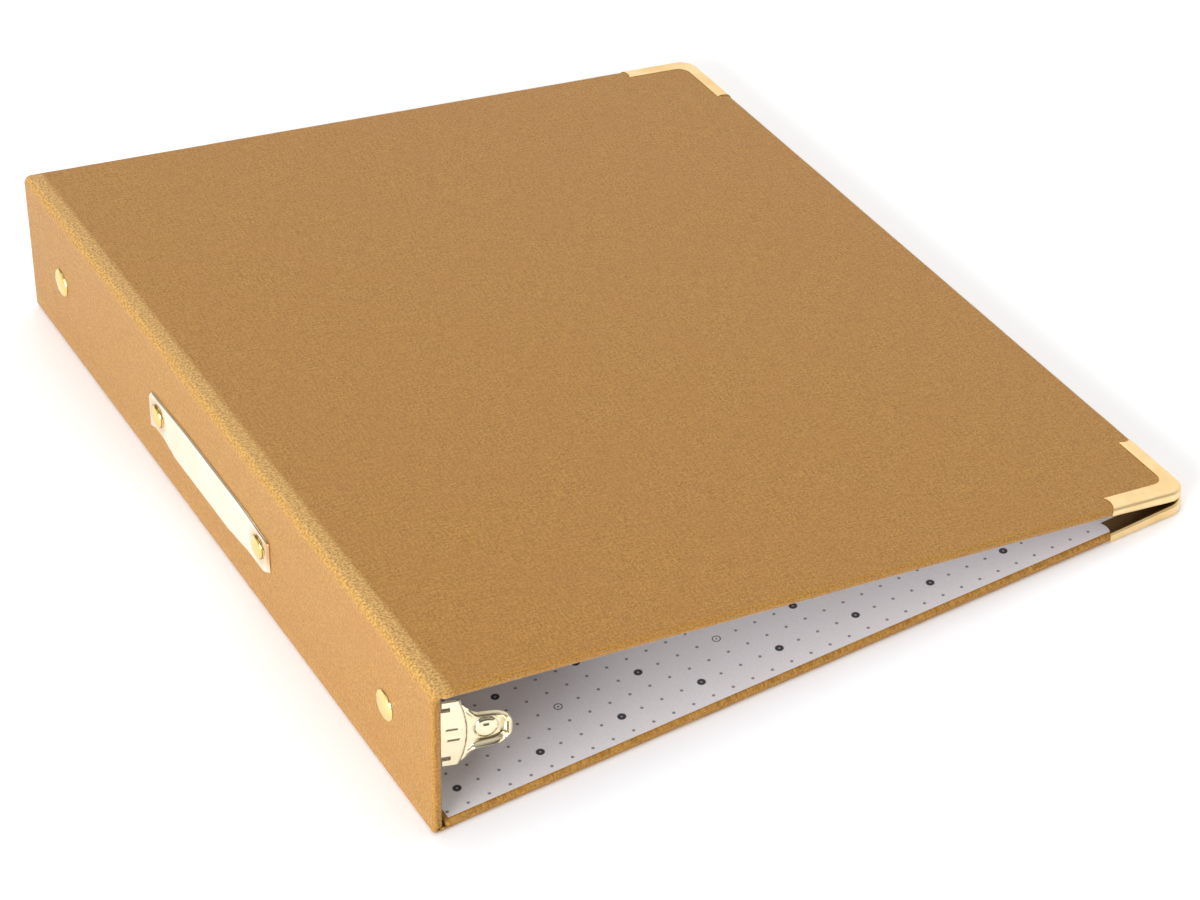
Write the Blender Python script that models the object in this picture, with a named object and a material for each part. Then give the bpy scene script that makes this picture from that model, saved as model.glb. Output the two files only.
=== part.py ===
"""Cloth-bound ring album for letter-size scrapbook pages.

Three boards wrapped in metallic cloth, hinged along two gutters, with a ring
mechanism riveted inside the spine, a blank name plate riveted outside it,
and a folded metal protector on each fore-edge corner.

Frame: X runs from the spine to the fore edge, Y from tail to head, Z up.
"""
import math

import bmesh
import bpy
from mathutils import Matrix, Vector

for item in list(bpy.data.objects):
    bpy.data.objects.remove(item, do_unlink=True)

MM = 0.001

# ---- driving dimensions ------------------------------------------------
ALBUM_LENGTH = 298.5 * MM        # tail to head
COVER_REACH = 263.3 * MM         # hinge line to fore edge
SPINE_HEIGHT = 52.15 * MM        # lower hinge line to upper hinge line
SPINE_LEAN = math.radians(4.03)  # the empty spine leans in over the pages
REST_GAP = 0.3 * MM              # between the two covers' corner metal

CLOTH = 0.5 * MM
LAYER_GAP = 0.3 * MM
BOARD = 1.6 * MM
COVER_THICK = 2 * CLOTH + 2 * LAYER_GAP + BOARD
TURN_IN = 15.0 * MM              # cloth folded over onto the inside
GUTTER = 4.2 * MM                # hinge line to the edge of each cover
SPINE_END = 0.95 * MM            # hinge line to the edge of the spine
EDGE_ROUND = 1.1 * MM
LINER = 0.25 * MM
LINER_GAP = 0.2 * MM
LINER_MARGIN = 1.4 * MM
INNER_FACE = COVER_THICK + LINER_GAP + LINER

CORNER_METAL = 0.3 * MM
CORNER_GAP = 0.05 * MM
CORNER_LEG = 29.5 * MM
CORNER_WIDTH = 6.4 * MM
CORNER_ROUND = 5.5 * MM
CORNER_INNER_ROUND = 2.2 * MM
CORNER_SLANT = 2.0 * MM

PLATE_LENGTH = 89.0 * MM
PLATE_HALF_HEIGHT = 7.6 * MM
PLATE_END_HALF_HEIGHT = 6.7 * MM
PLATE_THICK = 0.9 * MM
PLATE_CENTRE_Z = 23.6 * MM
PLATE_RIVET_Z = 24.4 * MM
PLATE_RIVET_PITCH = 75.8 * MM

MECH_CENTRE_Z = 26.0 * MM
MECH_RIVET_PITCH = 240.2 * MM
RIVET_HEAD_RADIUS = 4.9 * MM
RIVET_SHANK_RADIUS = 1.8 * MM
RIVET_HOLE_RADIUS = 2.15 * MM
MECH_BASE = INNER_FACE + 0.3 * MM
ARCH_HALF_WIDTH = 12.2 * MM
ARCH_HEIGHT = 6.9 * MM
ARCH_SHEET = 0.8 * MM
ARCH_LENGTH = 268.4 * MM

RING_PITCH = 108.0 * MM          # three-ring spacing, 4 1/4 in
RING_WIRE_RADIUS = 1.5 * MM
RING_BORE_RADIUS = 12.7 * MM     # one-inch ring
RING_PATH_RADIUS = RING_BORE_RADIUS + RING_WIRE_RADIUS
RING_LEG_OFFSET = 8.0 * MM       # ring leg from the mechanism's centre line
RING_MEET_ANGLE = math.radians(40.0)

HINGE_PLATE_THICK = 0.8 * MM
HINGE_PLATE_LENGTH = 261.0 * MM
HINGE_PLATE_OUTER = 10.6 * MM
HINGE_PLATE_INNER = 0.25 * MM
HINGE_PLATE_TILT = math.radians(6.0)
HINGE_PLATE_PIVOT_X = MECH_BASE + 1.95 * MM

LEVER_SHEET = 0.9 * MM
LEVER_PIN_RADIUS = 0.9 * MM
LEVER_CURL_RADIUS = 1.65 * MM
LEVER_HALF_WIDTH = 11.7 * MM
LEVER_TONGUE = 8.2 * MM
LEVER_SLIT_OUTER = 9.75 * MM
LEVER_LENGTH = 22.0 * MM
LEVER_TILT = math.radians(15.5)  # closed lever leans towards the album's end
LEVER_PIVOT_X = MECH_BASE + 2.15 * MM
LEVER_PIVOT_Y = 136.5 * MM

HALF = ALBUM_LENGTH / 2


# ---- materials ---------------------------------------------------------
def material(name, colour, roughness, metallic):
    """One Principled material."""
    made = bpy.data.materials.new(name)
    made.use_nodes = True
    shader = made.node_tree.nodes["Principled BSDF"]
    shader.inputs["Base Color"].default_value = (*colour, 1.0)
    shader.inputs["Roughness"].default_value = roughness
    shader.inputs["Metallic"].default_value = metallic
    made.diffuse_color = (*colour, 1.0)
    return made


CLOTH_MAT = material("bronze_cloth", (0.49, 0.25, 0.08), 0.55, 0.25)
BOARD_MAT = material("grey_board", (0.27, 0.25, 0.22), 0.9, 0.0)
PAPER_MAT = material("white_liner_paper", (0.82, 0.81, 0.80), 0.8, 0.0)
GOLD_MAT = material("pale_gold_metal", (0.90, 0.70, 0.40), 0.18, 1.0)


# ---- the frames each piece is modelled in --------------------------------
def empty(name, parent, location, rotation_y=0.0):
    """A joint frame, turned about Y only."""
    made = bpy.data.objects.new(name, None)
    bpy.context.scene.collection.objects.link(made)
    made.parent = parent
    made.location = location
    made.rotation_euler = (0.0, rotation_y, 0.0)
    return made


def closing_angle():
    """Slope at which the front cover's corner metal meets the back cover's."""
    proud = INNER_FACE + CORNER_GAP + CORNER_METAL
    along = COVER_REACH + CORNER_GAP + CORNER_METAL
    drop = SPINE_HEIGHT * math.cos(SPINE_LEAN) - proud - REST_GAP
    return math.asin(drop / math.hypot(along, proud)) - math.atan2(proud, along)


ALBUM = empty("album_frame", None, (0.0, 0.0, 0.0))
SPINE = empty("spine_hinge_frame", ALBUM, (0.0, 0.0, 0.0), SPINE_LEAN)
FRONT = empty("front_hinge_frame", SPINE, (0.0, 0.0, SPINE_HEIGHT),
              closing_angle() - SPINE_LEAN)
RING_FRAMES = {}
for side, sign in (("lower", -1), ("upper", 1)):
    RING_FRAMES[side] = empty(
        "ring_frame_" + side, SPINE,
        (HINGE_PLATE_PIVOT_X, 0.0, MECH_CENTRE_Z + sign * HINGE_PLATE_OUTER))
LEVER_FRAMES = {}
for end, sign in (("tail", -1), ("head", 1)):
    LEVER_FRAMES[end] = empty(
        "lever_frame_" + end, SPINE,
        (LEVER_PIVOT_X, sign * LEVER_PIVOT_Y, MECH_CENTRE_Z))


def flat_back(u, v, w):
    """u from hinge to fore edge, v tail to head, w inward from outer face."""
    return Vector((u, v, w))


def flat_front(u, v, w):
    return Vector((u, v, -w))


def flat_spine(u, v, w):
    return Vector((w, v, u))


# ---- mesh helpers ---------------------------------------------------------
def finish(name, bm, mat, parent, smooth_angle=35.0):
    """Turn a closed bmesh into a named object under its joint frame."""
    bmesh.ops.recalc_face_normals(bm, faces=bm.faces)
    mesh = bpy.data.meshes.new(name)
    bm.to_mesh(mesh)
    bm.free()
    mesh.materials.append(mat)
    mesh.shade_smooth()
    mesh.set_sharp_from_angle(angle=math.radians(smooth_angle))
    made = bpy.data.objects.new(name, mesh)
    bpy.context.scene.collection.objects.link(made)
    made.parent = parent
    return made


def stack(bm, levels):
    """Closed solid from rings of points, capped at both ends."""
    rings = [[bm.verts.new(p) for p in level] for level in levels]
    count = len(rings[0])
    for low, high in zip(rings, rings[1:]):
        for k in range(count):
            n = (k + 1) % count
            bm.faces.new((low[k], low[n], high[n], high[k]))
    bm.faces.new(list(reversed(rings[0])))
    bm.faces.new(rings[-1])


def rounded_rectangle(u0, u1, v0, v1, near_radius, far_radius, steps=6):
    """Outline, anticlockwise; near is the u0 side and far the u1 side."""
    points = []
    corners = ((u1, v1, far_radius, 0), (u0, v1, near_radius, 90),
               (u0, v0, near_radius, 180), (u1, v0, far_radius, 270))
    for cu, cv, radius, start in corners:
        pu = cu - math.copysign(radius, cu - (u0 + u1) / 2)
        pv = cv - math.copysign(radius, cv - (v0 + v1) / 2)
        for k in range(steps + 1):
            a = math.radians(start + 90.0 * k / steps)
            points.append((pu + radius * math.cos(a), pv + radius * math.sin(a)))
    return points


def rectangle_levels(frame, u0, u1, v0, v1, near, far, profile):
    """Rings for a rounded rectangle whose profile is (inset, height) pairs."""
    levels = []
    for inset, w in profile:
        outline = rounded_rectangle(
            u0 + inset, u1 - inset, v0 + inset, v1 - inset,
            max(near - inset, 0.3 * MM), max(far - inset, 0.3 * MM))
        levels.append([frame(u, v, w) for u, v in outline])
    return levels


def inset_outline(points, distance):
    """Move an anticlockwise outline inwards by distance."""
    moved = []
    count = len(points)
    for k in range(count):
        a = Vector(points[k - 1])
        b = Vector(points[k])
        c = Vector(points[(k + 1) % count])
        d1 = (b - a).normalized()
        d2 = (c - b).normalized()
        n1 = Vector((-d1.y, d1.x))
        n2 = Vector((-d2.y, d2.x))
        bisector = (n1 + n2).normalized()
        reach = distance / max(bisector.dot(n1), 0.5)
        moved.append(tuple(b + bisector * reach))
    return moved


def outline_levels(frame, outline, profile):
    levels = []
    for inset, w in profile:
        ring = inset_outline(outline, inset) if inset else outline
        levels.append([frame(u, v, w) for u, v in ring])
    return levels


def round_edge(radius, w_start, w_end, steps=3):
    """(inset, w) pairs rounding from a face at w_start to a side, towards w_end."""
    turn = math.copysign(1.0, w_end - w_start)
    pairs = []
    for k in range(steps + 1):
        a = math.radians(90.0 * k / steps)
        pairs.append((radius * (1 - math.sin(a)),
                      w_start + turn * radius * (1 - math.cos(a))))
    return pairs


def revolve(bm, axis_point, axis, profile, steps=24):
    """Solid of revolution; profile is (radius, height), zero radius at both ends."""
    axis = Vector(axis).normalized()
    side = axis.orthogonal().normalized()
    across = axis.cross(side)
    centre = Vector(axis_point)
    rings = []
    for radius, height in profile:
        if radius == 0.0:
            rings.append([bm.verts.new(centre + axis * height)])
            continue
        ring = []
        for k in range(steps):
            a = 2 * math.pi * k / steps
            offset = side * math.cos(a) + across * math.sin(a)
            ring.append(bm.verts.new(centre + axis * height + offset * radius))
        rings.append(ring)
    for low, high in zip(rings, rings[1:]):
        for k in range(steps):
            n = (k + 1) % steps
            if len(low) == 1:
                bm.faces.new((low[0], high[n], high[k]))
            elif len(high) == 1:
                bm.faces.new((low[k], low[n], high[0]))
            else:
                bm.faces.new((low[k], low[n], high[n], high[k]))


def box(bm, low, high):
    """Axis-aligned box between two corners."""
    size = Vector(high) - Vector(low)
    middle = (Vector(high) + Vector(low)) / 2
    bmesh.ops.create_cube(
        bm, size=1.0,
        matrix=Matrix.Translation(middle) @ Matrix.Diagonal((*size, 1.0)))


def carve(target, bm, operation="DIFFERENCE"):
    """Cut or join a bmesh in the target's own coordinates, exactly."""
    bmesh.ops.recalc_face_normals(bm, faces=bm.faces)
    mesh = bpy.data.meshes.new("tool")
    bm.to_mesh(mesh)
    bm.free()
    tool = bpy.data.objects.new("tool", mesh)
    bpy.context.scene.collection.objects.link(tool)
    tool.parent = target.parent
    change = target.modifiers.new("carve", "BOOLEAN")
    change.operation = operation
    change.object = tool
    bpy.context.view_layer.update()
    graph = bpy.context.evaluated_depsgraph_get()
    carved = bpy.data.meshes.new_from_object(target.evaluated_get(graph))
    target.modifiers.clear()
    old = target.data
    target.data = carved
    carved.name = target.name
    bpy.data.meshes.remove(old)
    bpy.data.objects.remove(tool, do_unlink=True)


def drill(target, point, axis, radius, low, high, steps=20):
    """A plain round hole along an axis."""
    bm = bmesh.new()
    revolve(bm, point, axis, [(0.0, low), (radius, low), (radius, high), (0.0, high)],
            steps)
    carve(target, bm)


# ---- boards, cloth and liners ----------------------------------------------
def cloth_wrap(name, frame, parent, u0, u1, near, far, turn_in):
    """Cloth over one board: outer face, edges and the margin turned in."""
    profile = round_edge(EDGE_ROUND, 0.0, COVER_THICK)
    top = round_edge(EDGE_ROUND, COVER_THICK, 0.0)
    profile += list(reversed(top))
    profile += [(turn_in, COVER_THICK),
                (turn_in, COVER_THICK - CLOTH),
                (CLOTH, COVER_THICK - CLOTH),
                (CLOTH, CLOTH)]
    bm = bmesh.new()
    stack(bm, rectangle_levels(frame, u0, u1, -HALF, HALF, near, far, profile))
    return finish(name, bm, CLOTH_MAT, parent)


def cover_board(name, frame, parent, u0, u1, near, far):
    """Bare board inside the cloth, clear of it all round."""
    edge = CLOTH + LAYER_GAP
    profile = [(edge, edge), (edge, COVER_THICK - edge)]
    bm = bmesh.new()
    stack(bm, rectangle_levels(frame, u0, u1, -HALF, HALF, near, far, profile))
    return finish(name, bm, BOARD_MAT, parent)


def paper_liner(name, frame, parent, u0, u1, near, far):
    profile = [(LINER_MARGIN, COVER_THICK + LINER_GAP), (LINER_MARGIN, INNER_FACE)]
    bm = bmesh.new()
    stack(bm, rectangle_levels(frame, u0, u1, -HALF, HALF, near, far, profile))
    return finish(name, bm, PAPER_MAT, parent)


FAR_ROUND = CORNER_ROUND - CORNER_GAP - CORNER_METAL
back_cloth = cloth_wrap("back_cover_cloth", flat_back, ALBUM, GUTTER, COVER_REACH,
                        1.2 * MM, FAR_ROUND, TURN_IN)
cover_board("back_cover_board", flat_back, ALBUM, GUTTER, COVER_REACH,
            1.2 * MM, FAR_ROUND)
paper_liner("back_cover_liner", flat_back, ALBUM, GUTTER, COVER_REACH,
            1.2 * MM, FAR_ROUND)
cloth_wrap("front_cover_cloth", flat_front, FRONT, GUTTER, COVER_REACH,
           1.2 * MM, FAR_ROUND, TURN_IN)
cover_board("front_cover_board", flat_front, FRONT, GUTTER, COVER_REACH,
            1.2 * MM, FAR_ROUND)
paper_liner("front_cover_liner", flat_front, FRONT, GUTTER, COVER_REACH,
            1.2 * MM, FAR_ROUND)
SPINE_LOW = SPINE_END
SPINE_TOP = SPINE_HEIGHT - SPINE_END
spine_cloth = cloth_wrap("spine_cloth", flat_spine, SPINE, SPINE_LOW, SPINE_TOP,
                         1.2 * MM, 1.2 * MM, 8.0 * MM)
spine_board = cover_board("spine_board", flat_spine, SPINE, SPINE_LOW, SPINE_TOP,
                          1.2 * MM, 1.2 * MM)
spine_liner = paper_liner("spine_liner", flat_spine, SPINE, SPINE_LOW, SPINE_TOP,
                          1.2 * MM, 1.2 * MM)


def joint_cloth(name, frame, parent):
    """The strip of cloth that bends along a gutter, between two boards."""
    start = 0.35 * MM
    end = GUTTER - 0.05 * MM
    low = 0.05 * MM
    high = low + 0.4 * MM
    inset = 1.0 * MM
    profile = [(0.0, low), (0.0, high)]
    bm = bmesh.new()
    stack(bm, rectangle_levels(frame, start, end, -HALF + inset, HALF - inset,
                               0.3 * MM, 0.3 * MM, profile))
    return finish(name, bm, CLOTH_MAT, parent)


joint_cloth("back_joint_cloth", flat_back, ALBUM)
joint_cloth("front_joint_cloth", flat_front, FRONT)


# ---- metal corner protectors -------------------------------------------------
def corner_outline(end_sign, grow=0.0):
    """L-shaped plan, measured in from the fore edge and from the tail or head."""
    outer = CORNER_GAP + CORNER_METAL + grow
    leg = CORNER_LEG + grow
    width = CORNER_WIDTH + grow
    points = []

    def slant(q):
        return leg + CORNER_SLANT * (1 - q) ** 2

    steps = 5
    for k in range(steps + 1):
        q = 1 - k / steps
        points.append((slant(q), -outer + (width + outer) * q))
    for k in range(9):
        a = math.radians(90.0 * k / 8)
        points.append((-outer + CORNER_ROUND * (1 - math.sin(a)),
                       -outer + CORNER_ROUND * (1 - math.cos(a))))
    for k in range(steps + 1):
        q = k / steps
        points.append((-outer + (width + outer) * q, slant(q)))
    for k in range(5):
        a = math.radians(90.0 * k / 4)
        points.append((width + CORNER_INNER_ROUND * (1 - math.cos(a)),
                       width + CORNER_INNER_ROUND * (1 - math.sin(a))))
    placed = [(COVER_REACH - a, end_sign * (HALF - b)) for a, b in points]
    area = sum(p[0] * q[1] - q[0] * p[1]
               for p, q in zip(placed, placed[1:] + placed[:1]))
    return placed if area > 0 else list(reversed(placed))


def corner_protector(name, frame, parent, end_sign, outer_w):
    """Folded metal channel gripping the board's corner."""
    inner_w = INNER_FACE + CORNER_GAP + CORNER_METAL
    low = round_edge(0.25 * MM, outer_w, inner_w, 2)
    high = list(reversed(round_edge(0.25 * MM, inner_w, outer_w, 2)))
    bm = bmesh.new()
    stack(bm, outline_levels(frame, corner_outline(end_sign), low + high))
    made = finish(name, bm, GOLD_MAT, parent)
    tool = bmesh.new()
    spread = -CORNER_GAP
    profile = [(spread, outer_w + CORNER_METAL), (spread, inner_w - CORNER_METAL)]
    stack(tool, rectangle_levels(frame, GUTTER, COVER_REACH, -HALF, HALF,
                                 1.2 * MM, FAR_ROUND, profile))
    carve(made, tool)
    return made


PROUD = -(CORNER_GAP + CORNER_METAL)
for end, sign in (("tail", -1), ("head", 1)):
    corner_protector("front_corner_" + end, flat_front, FRONT, sign, PROUD)
    corner_protector("back_corner_" + end, flat_back, ALBUM, sign, 0.0)
    recess = bmesh.new()
    depth = CORNER_METAL + CORNER_GAP
    stack(recess, outline_levels(flat_back, corner_outline(sign, 0.15 * MM),
                                 [(0.0, -1.0 * MM), (0.0, depth)]))
    carve(back_cloth, recess)


# ---- name plate on the spine ----------------------------------------------------
def plate_half_height(v):
    """Half height of the plate at a distance v from its middle."""
    step = 0.45 * MM
    reach = PLATE_LENGTH / 2
    shoulder = 22.5 * MM
    end_run = 6.5 * MM
    if v <= shoulder:
        return PLATE_HALF_HEIGHT
    if v <= shoulder + 1.5 * MM:
        t = (v - shoulder) / (1.5 * MM)
        return PLATE_HALF_HEIGHT - step * t * t * (3 - 2 * t)
    taper_end = reach - end_run
    if v <= taper_end:
        t = (v - shoulder - 1.5 * MM) / (taper_end - shoulder - 1.5 * MM)
        drop = PLATE_HALF_HEIGHT - step - PLATE_END_HALF_HEIGHT
        return PLATE_HALF_HEIGHT - step - drop * t * t
    t = min((v - taper_end) / end_run, 1.0)
    return PLATE_END_HALF_HEIGHT * (1 - 0.55 * t ** 3)


def plate_outline():
    reach = PLATE_LENGTH / 2
    stations = [0.0, 12.0, 22.5, 23.25, 24.0, 29.0, 34.0, 38.0, 40.5, 42.3, 43.6, 44.5]
    stations = [min(s * MM, reach) for s in stations]
    upper = [(PLATE_CENTRE_Z + plate_half_height(s), s) for s in stations]
    lower = [(PLATE_CENTRE_Z - plate_half_height(s), s) for s in stations]
    outline = upper + list(reversed(lower))
    outline += [(u, -v) for u, v in lower[1:]]
    outline += [(u, -v) for u, v in list(reversed(upper))[:-1]]
    area = sum(p[0] * q[1] - q[0] * p[1]
               for p, q in zip(outline, outline[1:] + outline[:1]))
    return outline if area > 0 else list(reversed(outline))


PLATE_BACK = -0.1 * MM
plate_mesh = bmesh.new()
plate_profile = [(0.0, PLATE_BACK), (0.0, PLATE_BACK - 0.3 * MM)]
for k in range(1, 5):
    a = math.radians(90.0 * k / 4)
    plate_profile.append((0.8 * MM * (1 - math.cos(a)),
                          PLATE_BACK - 0.3 * MM
                          - (PLATE_THICK - 0.3 * MM) * math.sin(a)))
stack(plate_mesh, outline_levels(flat_spine, plate_outline(), plate_profile))
name_plate = finish("spine_name_plate", plate_mesh, GOLD_MAT, SPINE, 50.0)

PLATE_FACE = PLATE_BACK - PLATE_THICK
for end, sign in (("tail", -1), ("head", 1)):
    y = sign * PLATE_RIVET_PITCH / 2
    point = (0.0, y, PLATE_RIVET_Z)
    hole = 1.35 * MM
    for target in (name_plate, spine_cloth, spine_board):
        drill(target, point, (1, 0, 0), hole, -4 * MM, INNER_FACE - LINER - 0.05 * MM, 16)
    head = [(0.0, PLATE_FACE - 0.85 * MM)]
    for k in range(1, 6):
        a = math.radians(90.0 * k / 5)
        head.append((2.5 * MM * math.sin(a),
                     PLATE_FACE - 0.1 * MM - 0.75 * MM * math.cos(a)))
    head += [(1.0 * MM, PLATE_FACE - 0.1 * MM),
             (1.0 * MM, COVER_THICK - CLOTH - 0.15 * MM),
             (1.9 * MM, COVER_THICK - CLOTH - 0.1 * MM),
             (1.6 * MM, COVER_THICK - CLOTH + 0.3 * MM),
             (0.0, COVER_THICK - CLOTH + 0.4 * MM)]
    rivet = bmesh.new()
    revolve(rivet, point, (1, 0, 0), head, 20)
    finish("name_plate_rivet_" + end, rivet, GOLD_MAT, SPINE)


# ---- ring mechanism: arched cover ---------------------------------------------
def arch_curve(half_width, height, count):
    """Cross-section of the arched sheet, from one rim to the other."""
    points = []
    for k in range(count + 1):
        a = math.pi * k / count
        z = -half_width * math.cos(a)
        rise = max(1 - abs(z / half_width) ** 3, 0.0)
        points.append((MECH_BASE + height * math.sqrt(rise), MECH_CENTRE_Z + z))
    return points


ARCH_TOP = MECH_BASE + ARCH_HEIGHT
arch_section = arch_curve(ARCH_HALF_WIDTH, ARCH_HEIGHT, 20)
arch_inside = arch_curve(ARCH_HALF_WIDTH - ARCH_SHEET, ARCH_HEIGHT - ARCH_SHEET, 20)
arch_loop = arch_section + list(reversed(arch_inside))
arch_mesh = bmesh.new()
stack(arch_mesh, [[Vector((x, y, z)) for x, z in arch_loop]
                  for y in (-ARCH_LENGTH / 2, ARCH_LENGTH / 2)])
arch = finish("mechanism_arched_cover", arch_mesh, GOLD_MAT, SPINE)

EAR_INNER = 8.55 * MM
EAR_OUTER = 9.35 * MM
for end in (-1, 1):
    for side in (-1, 1):
        ear = bmesh.new()
        levels = []
        for z in (EAR_INNER, EAR_OUTER):
            ring = []
            for k in range(9):
                a = math.radians(-90.0 + 180.0 * k / 8)
                ring.append((LEVER_PIVOT_X + 2.0 * MM * math.sin(a),
                             LEVER_PIVOT_Y + 2.0 * MM * math.cos(a)))
            ring.append((MECH_BASE + 4.9 * MM, ARCH_LENGTH / 2 - 0.6 * MM))
            ring.append((MECH_BASE + 4.9 * MM, ARCH_LENGTH / 2 - 3.4 * MM))
            ring.append((LEVER_PIVOT_X - 2.0 * MM, ARCH_LENGTH / 2 - 3.4 * MM))
            levels.append([Vector((x, end * y, MECH_CENTRE_Z + side * z))
                           for x, y in ring])
        stack(ear, levels)
        carve(arch, ear, "UNION")
        point = (LEVER_PIVOT_X, end * LEVER_PIVOT_Y, MECH_CENTRE_Z)
        low, high = sorted((side * (EAR_INNER - 0.3 * MM), side * (EAR_OUTER + 0.3 * MM)))
        drill(arch, point, (0, 0, 1), LEVER_PIN_RADIUS + 0.1 * MM, low, high, 16)

slots = bmesh.new()
for ring_index in (-1, 0, 1):
    for side in (-1, 1):
        low, high = sorted((side * 6.2 * MM, side * 12.6 * MM))
        y = ring_index * RING_PITCH
        box(slots, (MECH_BASE - 1 * MM, y - 2.0 * MM, MECH_CENTRE_Z + low),
            (ARCH_TOP + 1 * MM, y + 2.0 * MM, MECH_CENTRE_Z + high))
carve(arch, slots)

# Rivets that hold the mechanism to the spine.
for end, sign in (("tail", -1), ("head", 1)):
    point = (0.0, sign * MECH_RIVET_PITCH / 2, MECH_CENTRE_Z)
    for target in (spine_cloth, spine_board, spine_liner, arch):
        drill(target, point, (1, 0, 0), RIVET_HOLE_RADIUS, -3 * MM, ARCH_TOP + 2 * MM)
    head = [(0.0, -1.15 * MM)]
    for k in range(1, 7):
        a = math.radians(90.0 * k / 6)
        head.append((RIVET_HEAD_RADIUS * math.sin(a), -0.1 * MM - 1.05 * MM * math.cos(a)))
    head += [(RIVET_SHANK_RADIUS, -0.1 * MM),
             (RIVET_SHANK_RADIUS, ARCH_TOP + 0.15 * MM),
             (3.2 * MM, ARCH_TOP + 0.2 * MM),
             (3.0 * MM, ARCH_TOP + 0.7 * MM),
             (1.6 * MM, ARCH_TOP + 0.8 * MM),
             (1.2 * MM, ARCH_TOP + 0.4 * MM),
             (0.0, ARCH_TOP + 0.4 * MM)]
    rivet = bmesh.new()
    revolve(rivet, point, (1, 0, 0), head, 24)
    finish("mechanism_rivet_" + end, rivet, GOLD_MAT, SPINE)


# ---- hinge plates and half rings ------------------------------------------------
def hinge_plate(side, sign):
    """Flat strip under the arch, hinged at its outer edge."""
    thick = HINGE_PLATE_THICK / 2
    reach = HINGE_PLATE_OUTER - HINGE_PLATE_INNER
    bm = bmesh.new()
    box(bm, (-thick, -HINGE_PLATE_LENGTH / 2, 0.0),
        (thick, HINGE_PLATE_LENGTH / 2, reach))
    # The strip runs in towards the centre line, dipping towards the spine.
    turn = Matrix.Rotation(-HINGE_PLATE_TILT, 4, "Y")
    bmesh.ops.transform(bm, matrix=turn, verts=bm.verts)
    if sign > 0:
        bmesh.ops.transform(bm, matrix=Matrix.Diagonal((1, 1, -1, 1)), verts=bm.verts)
    made = finish("hinge_plate_" + side, bm, GOLD_MAT, RING_FRAMES[side])
    centre = -sign * HINGE_PLATE_OUTER
    for end in (-1, 1):
        drill(made, (0.0, end * MECH_RIVET_PITCH / 2, centre), (1, 0, 0),
              3.0 * MM, -3 * MM, 3 * MM)
    for ring_index in (-1, 0, 1):
        drill(made, (0.0, ring_index * RING_PITCH, centre + sign * RING_LEG_OFFSET),
              (1, 0, 0), RING_WIRE_RADIUS + 0.12 * MM, -3 * MM, 3 * MM)
    return made


def ring_path(sign):
    """Centre line of one half ring: a straight leg, a bend, then the circle."""
    meet = RING_MEET_ANGLE
    bend = ((RING_PATH_RADIUS * math.sin(meet) - RING_LEG_OFFSET)
            / (1 - math.sin(meet)))
    leg_top = MECH_BASE + 2.9 * MM
    centre_x = leg_top + (bend + RING_PATH_RADIUS) * math.cos(meet)
    points = [(MECH_BASE + 0.8 * MM, RING_LEG_OFFSET),
              (MECH_BASE + 2.0 * MM, RING_LEG_OFFSET)]
    turn = math.pi / 2 - meet
    for k in range(5):
        a = turn * k / 4
        points.append((leg_top + bend * math.sin(a),
                       RING_LEG_OFFSET + bend * (1 - math.cos(a))))
    tip = math.pi - math.asin(0.15 * MM / RING_PATH_RADIUS)
    count = 18
    for k in range(1, count + 1):
        a = meet + (tip - meet) * k / count
        points.append((centre_x - RING_PATH_RADIUS * math.cos(a),
                       RING_PATH_RADIUS * math.sin(a)))
    pivot_x = HINGE_PLATE_PIVOT_X
    pivot_z = sign * HINGE_PLATE_OUTER
    return [Vector((x - pivot_x, 0.0, sign * z - pivot_z)) for x, z in points]


def half_ring(name, side, sign, y):
    """Round wire swept along the half ring's centre line."""
    path = ring_path(sign)
    sides = 12
    levels = []
    last = len(path) - 1
    for k, point in enumerate(path):
        before = path[max(k - 1, 0)]
        after = path[min(k + 1, last)]
        tangent = (after - before).normalized()
        normal = tangent.cross(Vector((0, 1, 0)))
        shrink = 0.72 if k in (0, last) else 1.0
        radius = RING_WIRE_RADIUS * shrink
        ring = []
        for j in range(sides):
            a = 2 * math.pi * j / sides
            ring.append(point + Vector((0, y, 0)) + normal * radius * math.cos(a)
                        + Vector((0, 1, 0)) * radius * math.sin(a))
        levels.append(ring)
        if k == 0:
            levels.append([p + tangent * 0.4 * MM
                           + (p - point - Vector((0, y, 0))) * (1 / 0.72 - 1)
                           for p in ring])
        if k == last:
            full = levels.pop()
            levels.append([p - tangent * 0.4 * MM
                           + (p - point - Vector((0, y, 0))) * (1 / 0.72 - 1)
                           for p in full])
            levels.append(full)
    bm = bmesh.new()
    stack(bm, levels)
    return finish(name, bm, GOLD_MAT, RING_FRAMES[side])


for side, sign in (("lower", -1), ("upper", 1)):
    hinge_plate(side, sign)
    for label, ring_index in (("tail", -1), ("middle", 0), ("head", 1)):
        half_ring("half_ring_" + side + "_" + label, side, sign,
                  ring_index * RING_PITCH)


# ---- opening levers --------------------------------------------------------------
def lever_half_width(s):
    """Half width of the lever at a distance s along it from its pin."""
    if s <= 7.0 * MM:
        return LEVER_HALF_WIDTH
    if s <= 13.5 * MM:
        t = (s - 7.0 * MM) / (6.5 * MM)
        return LEVER_HALF_WIDTH + (6.9 * MM - LEVER_HALF_WIDTH) * math.sin(t * math.pi / 2)
    if s <= 16.5 * MM:
        return 6.9 * MM
    t = min((s - 16.5 * MM) / (5.7 * MM), 0.97)
    return 6.9 * MM * math.sqrt(1 - t * t)


def smooth_step(low, high, value):
    t = min(max((value - low) / (high - low), 0.0), 1.0)
    return t * t * (3 - 2 * t)


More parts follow.
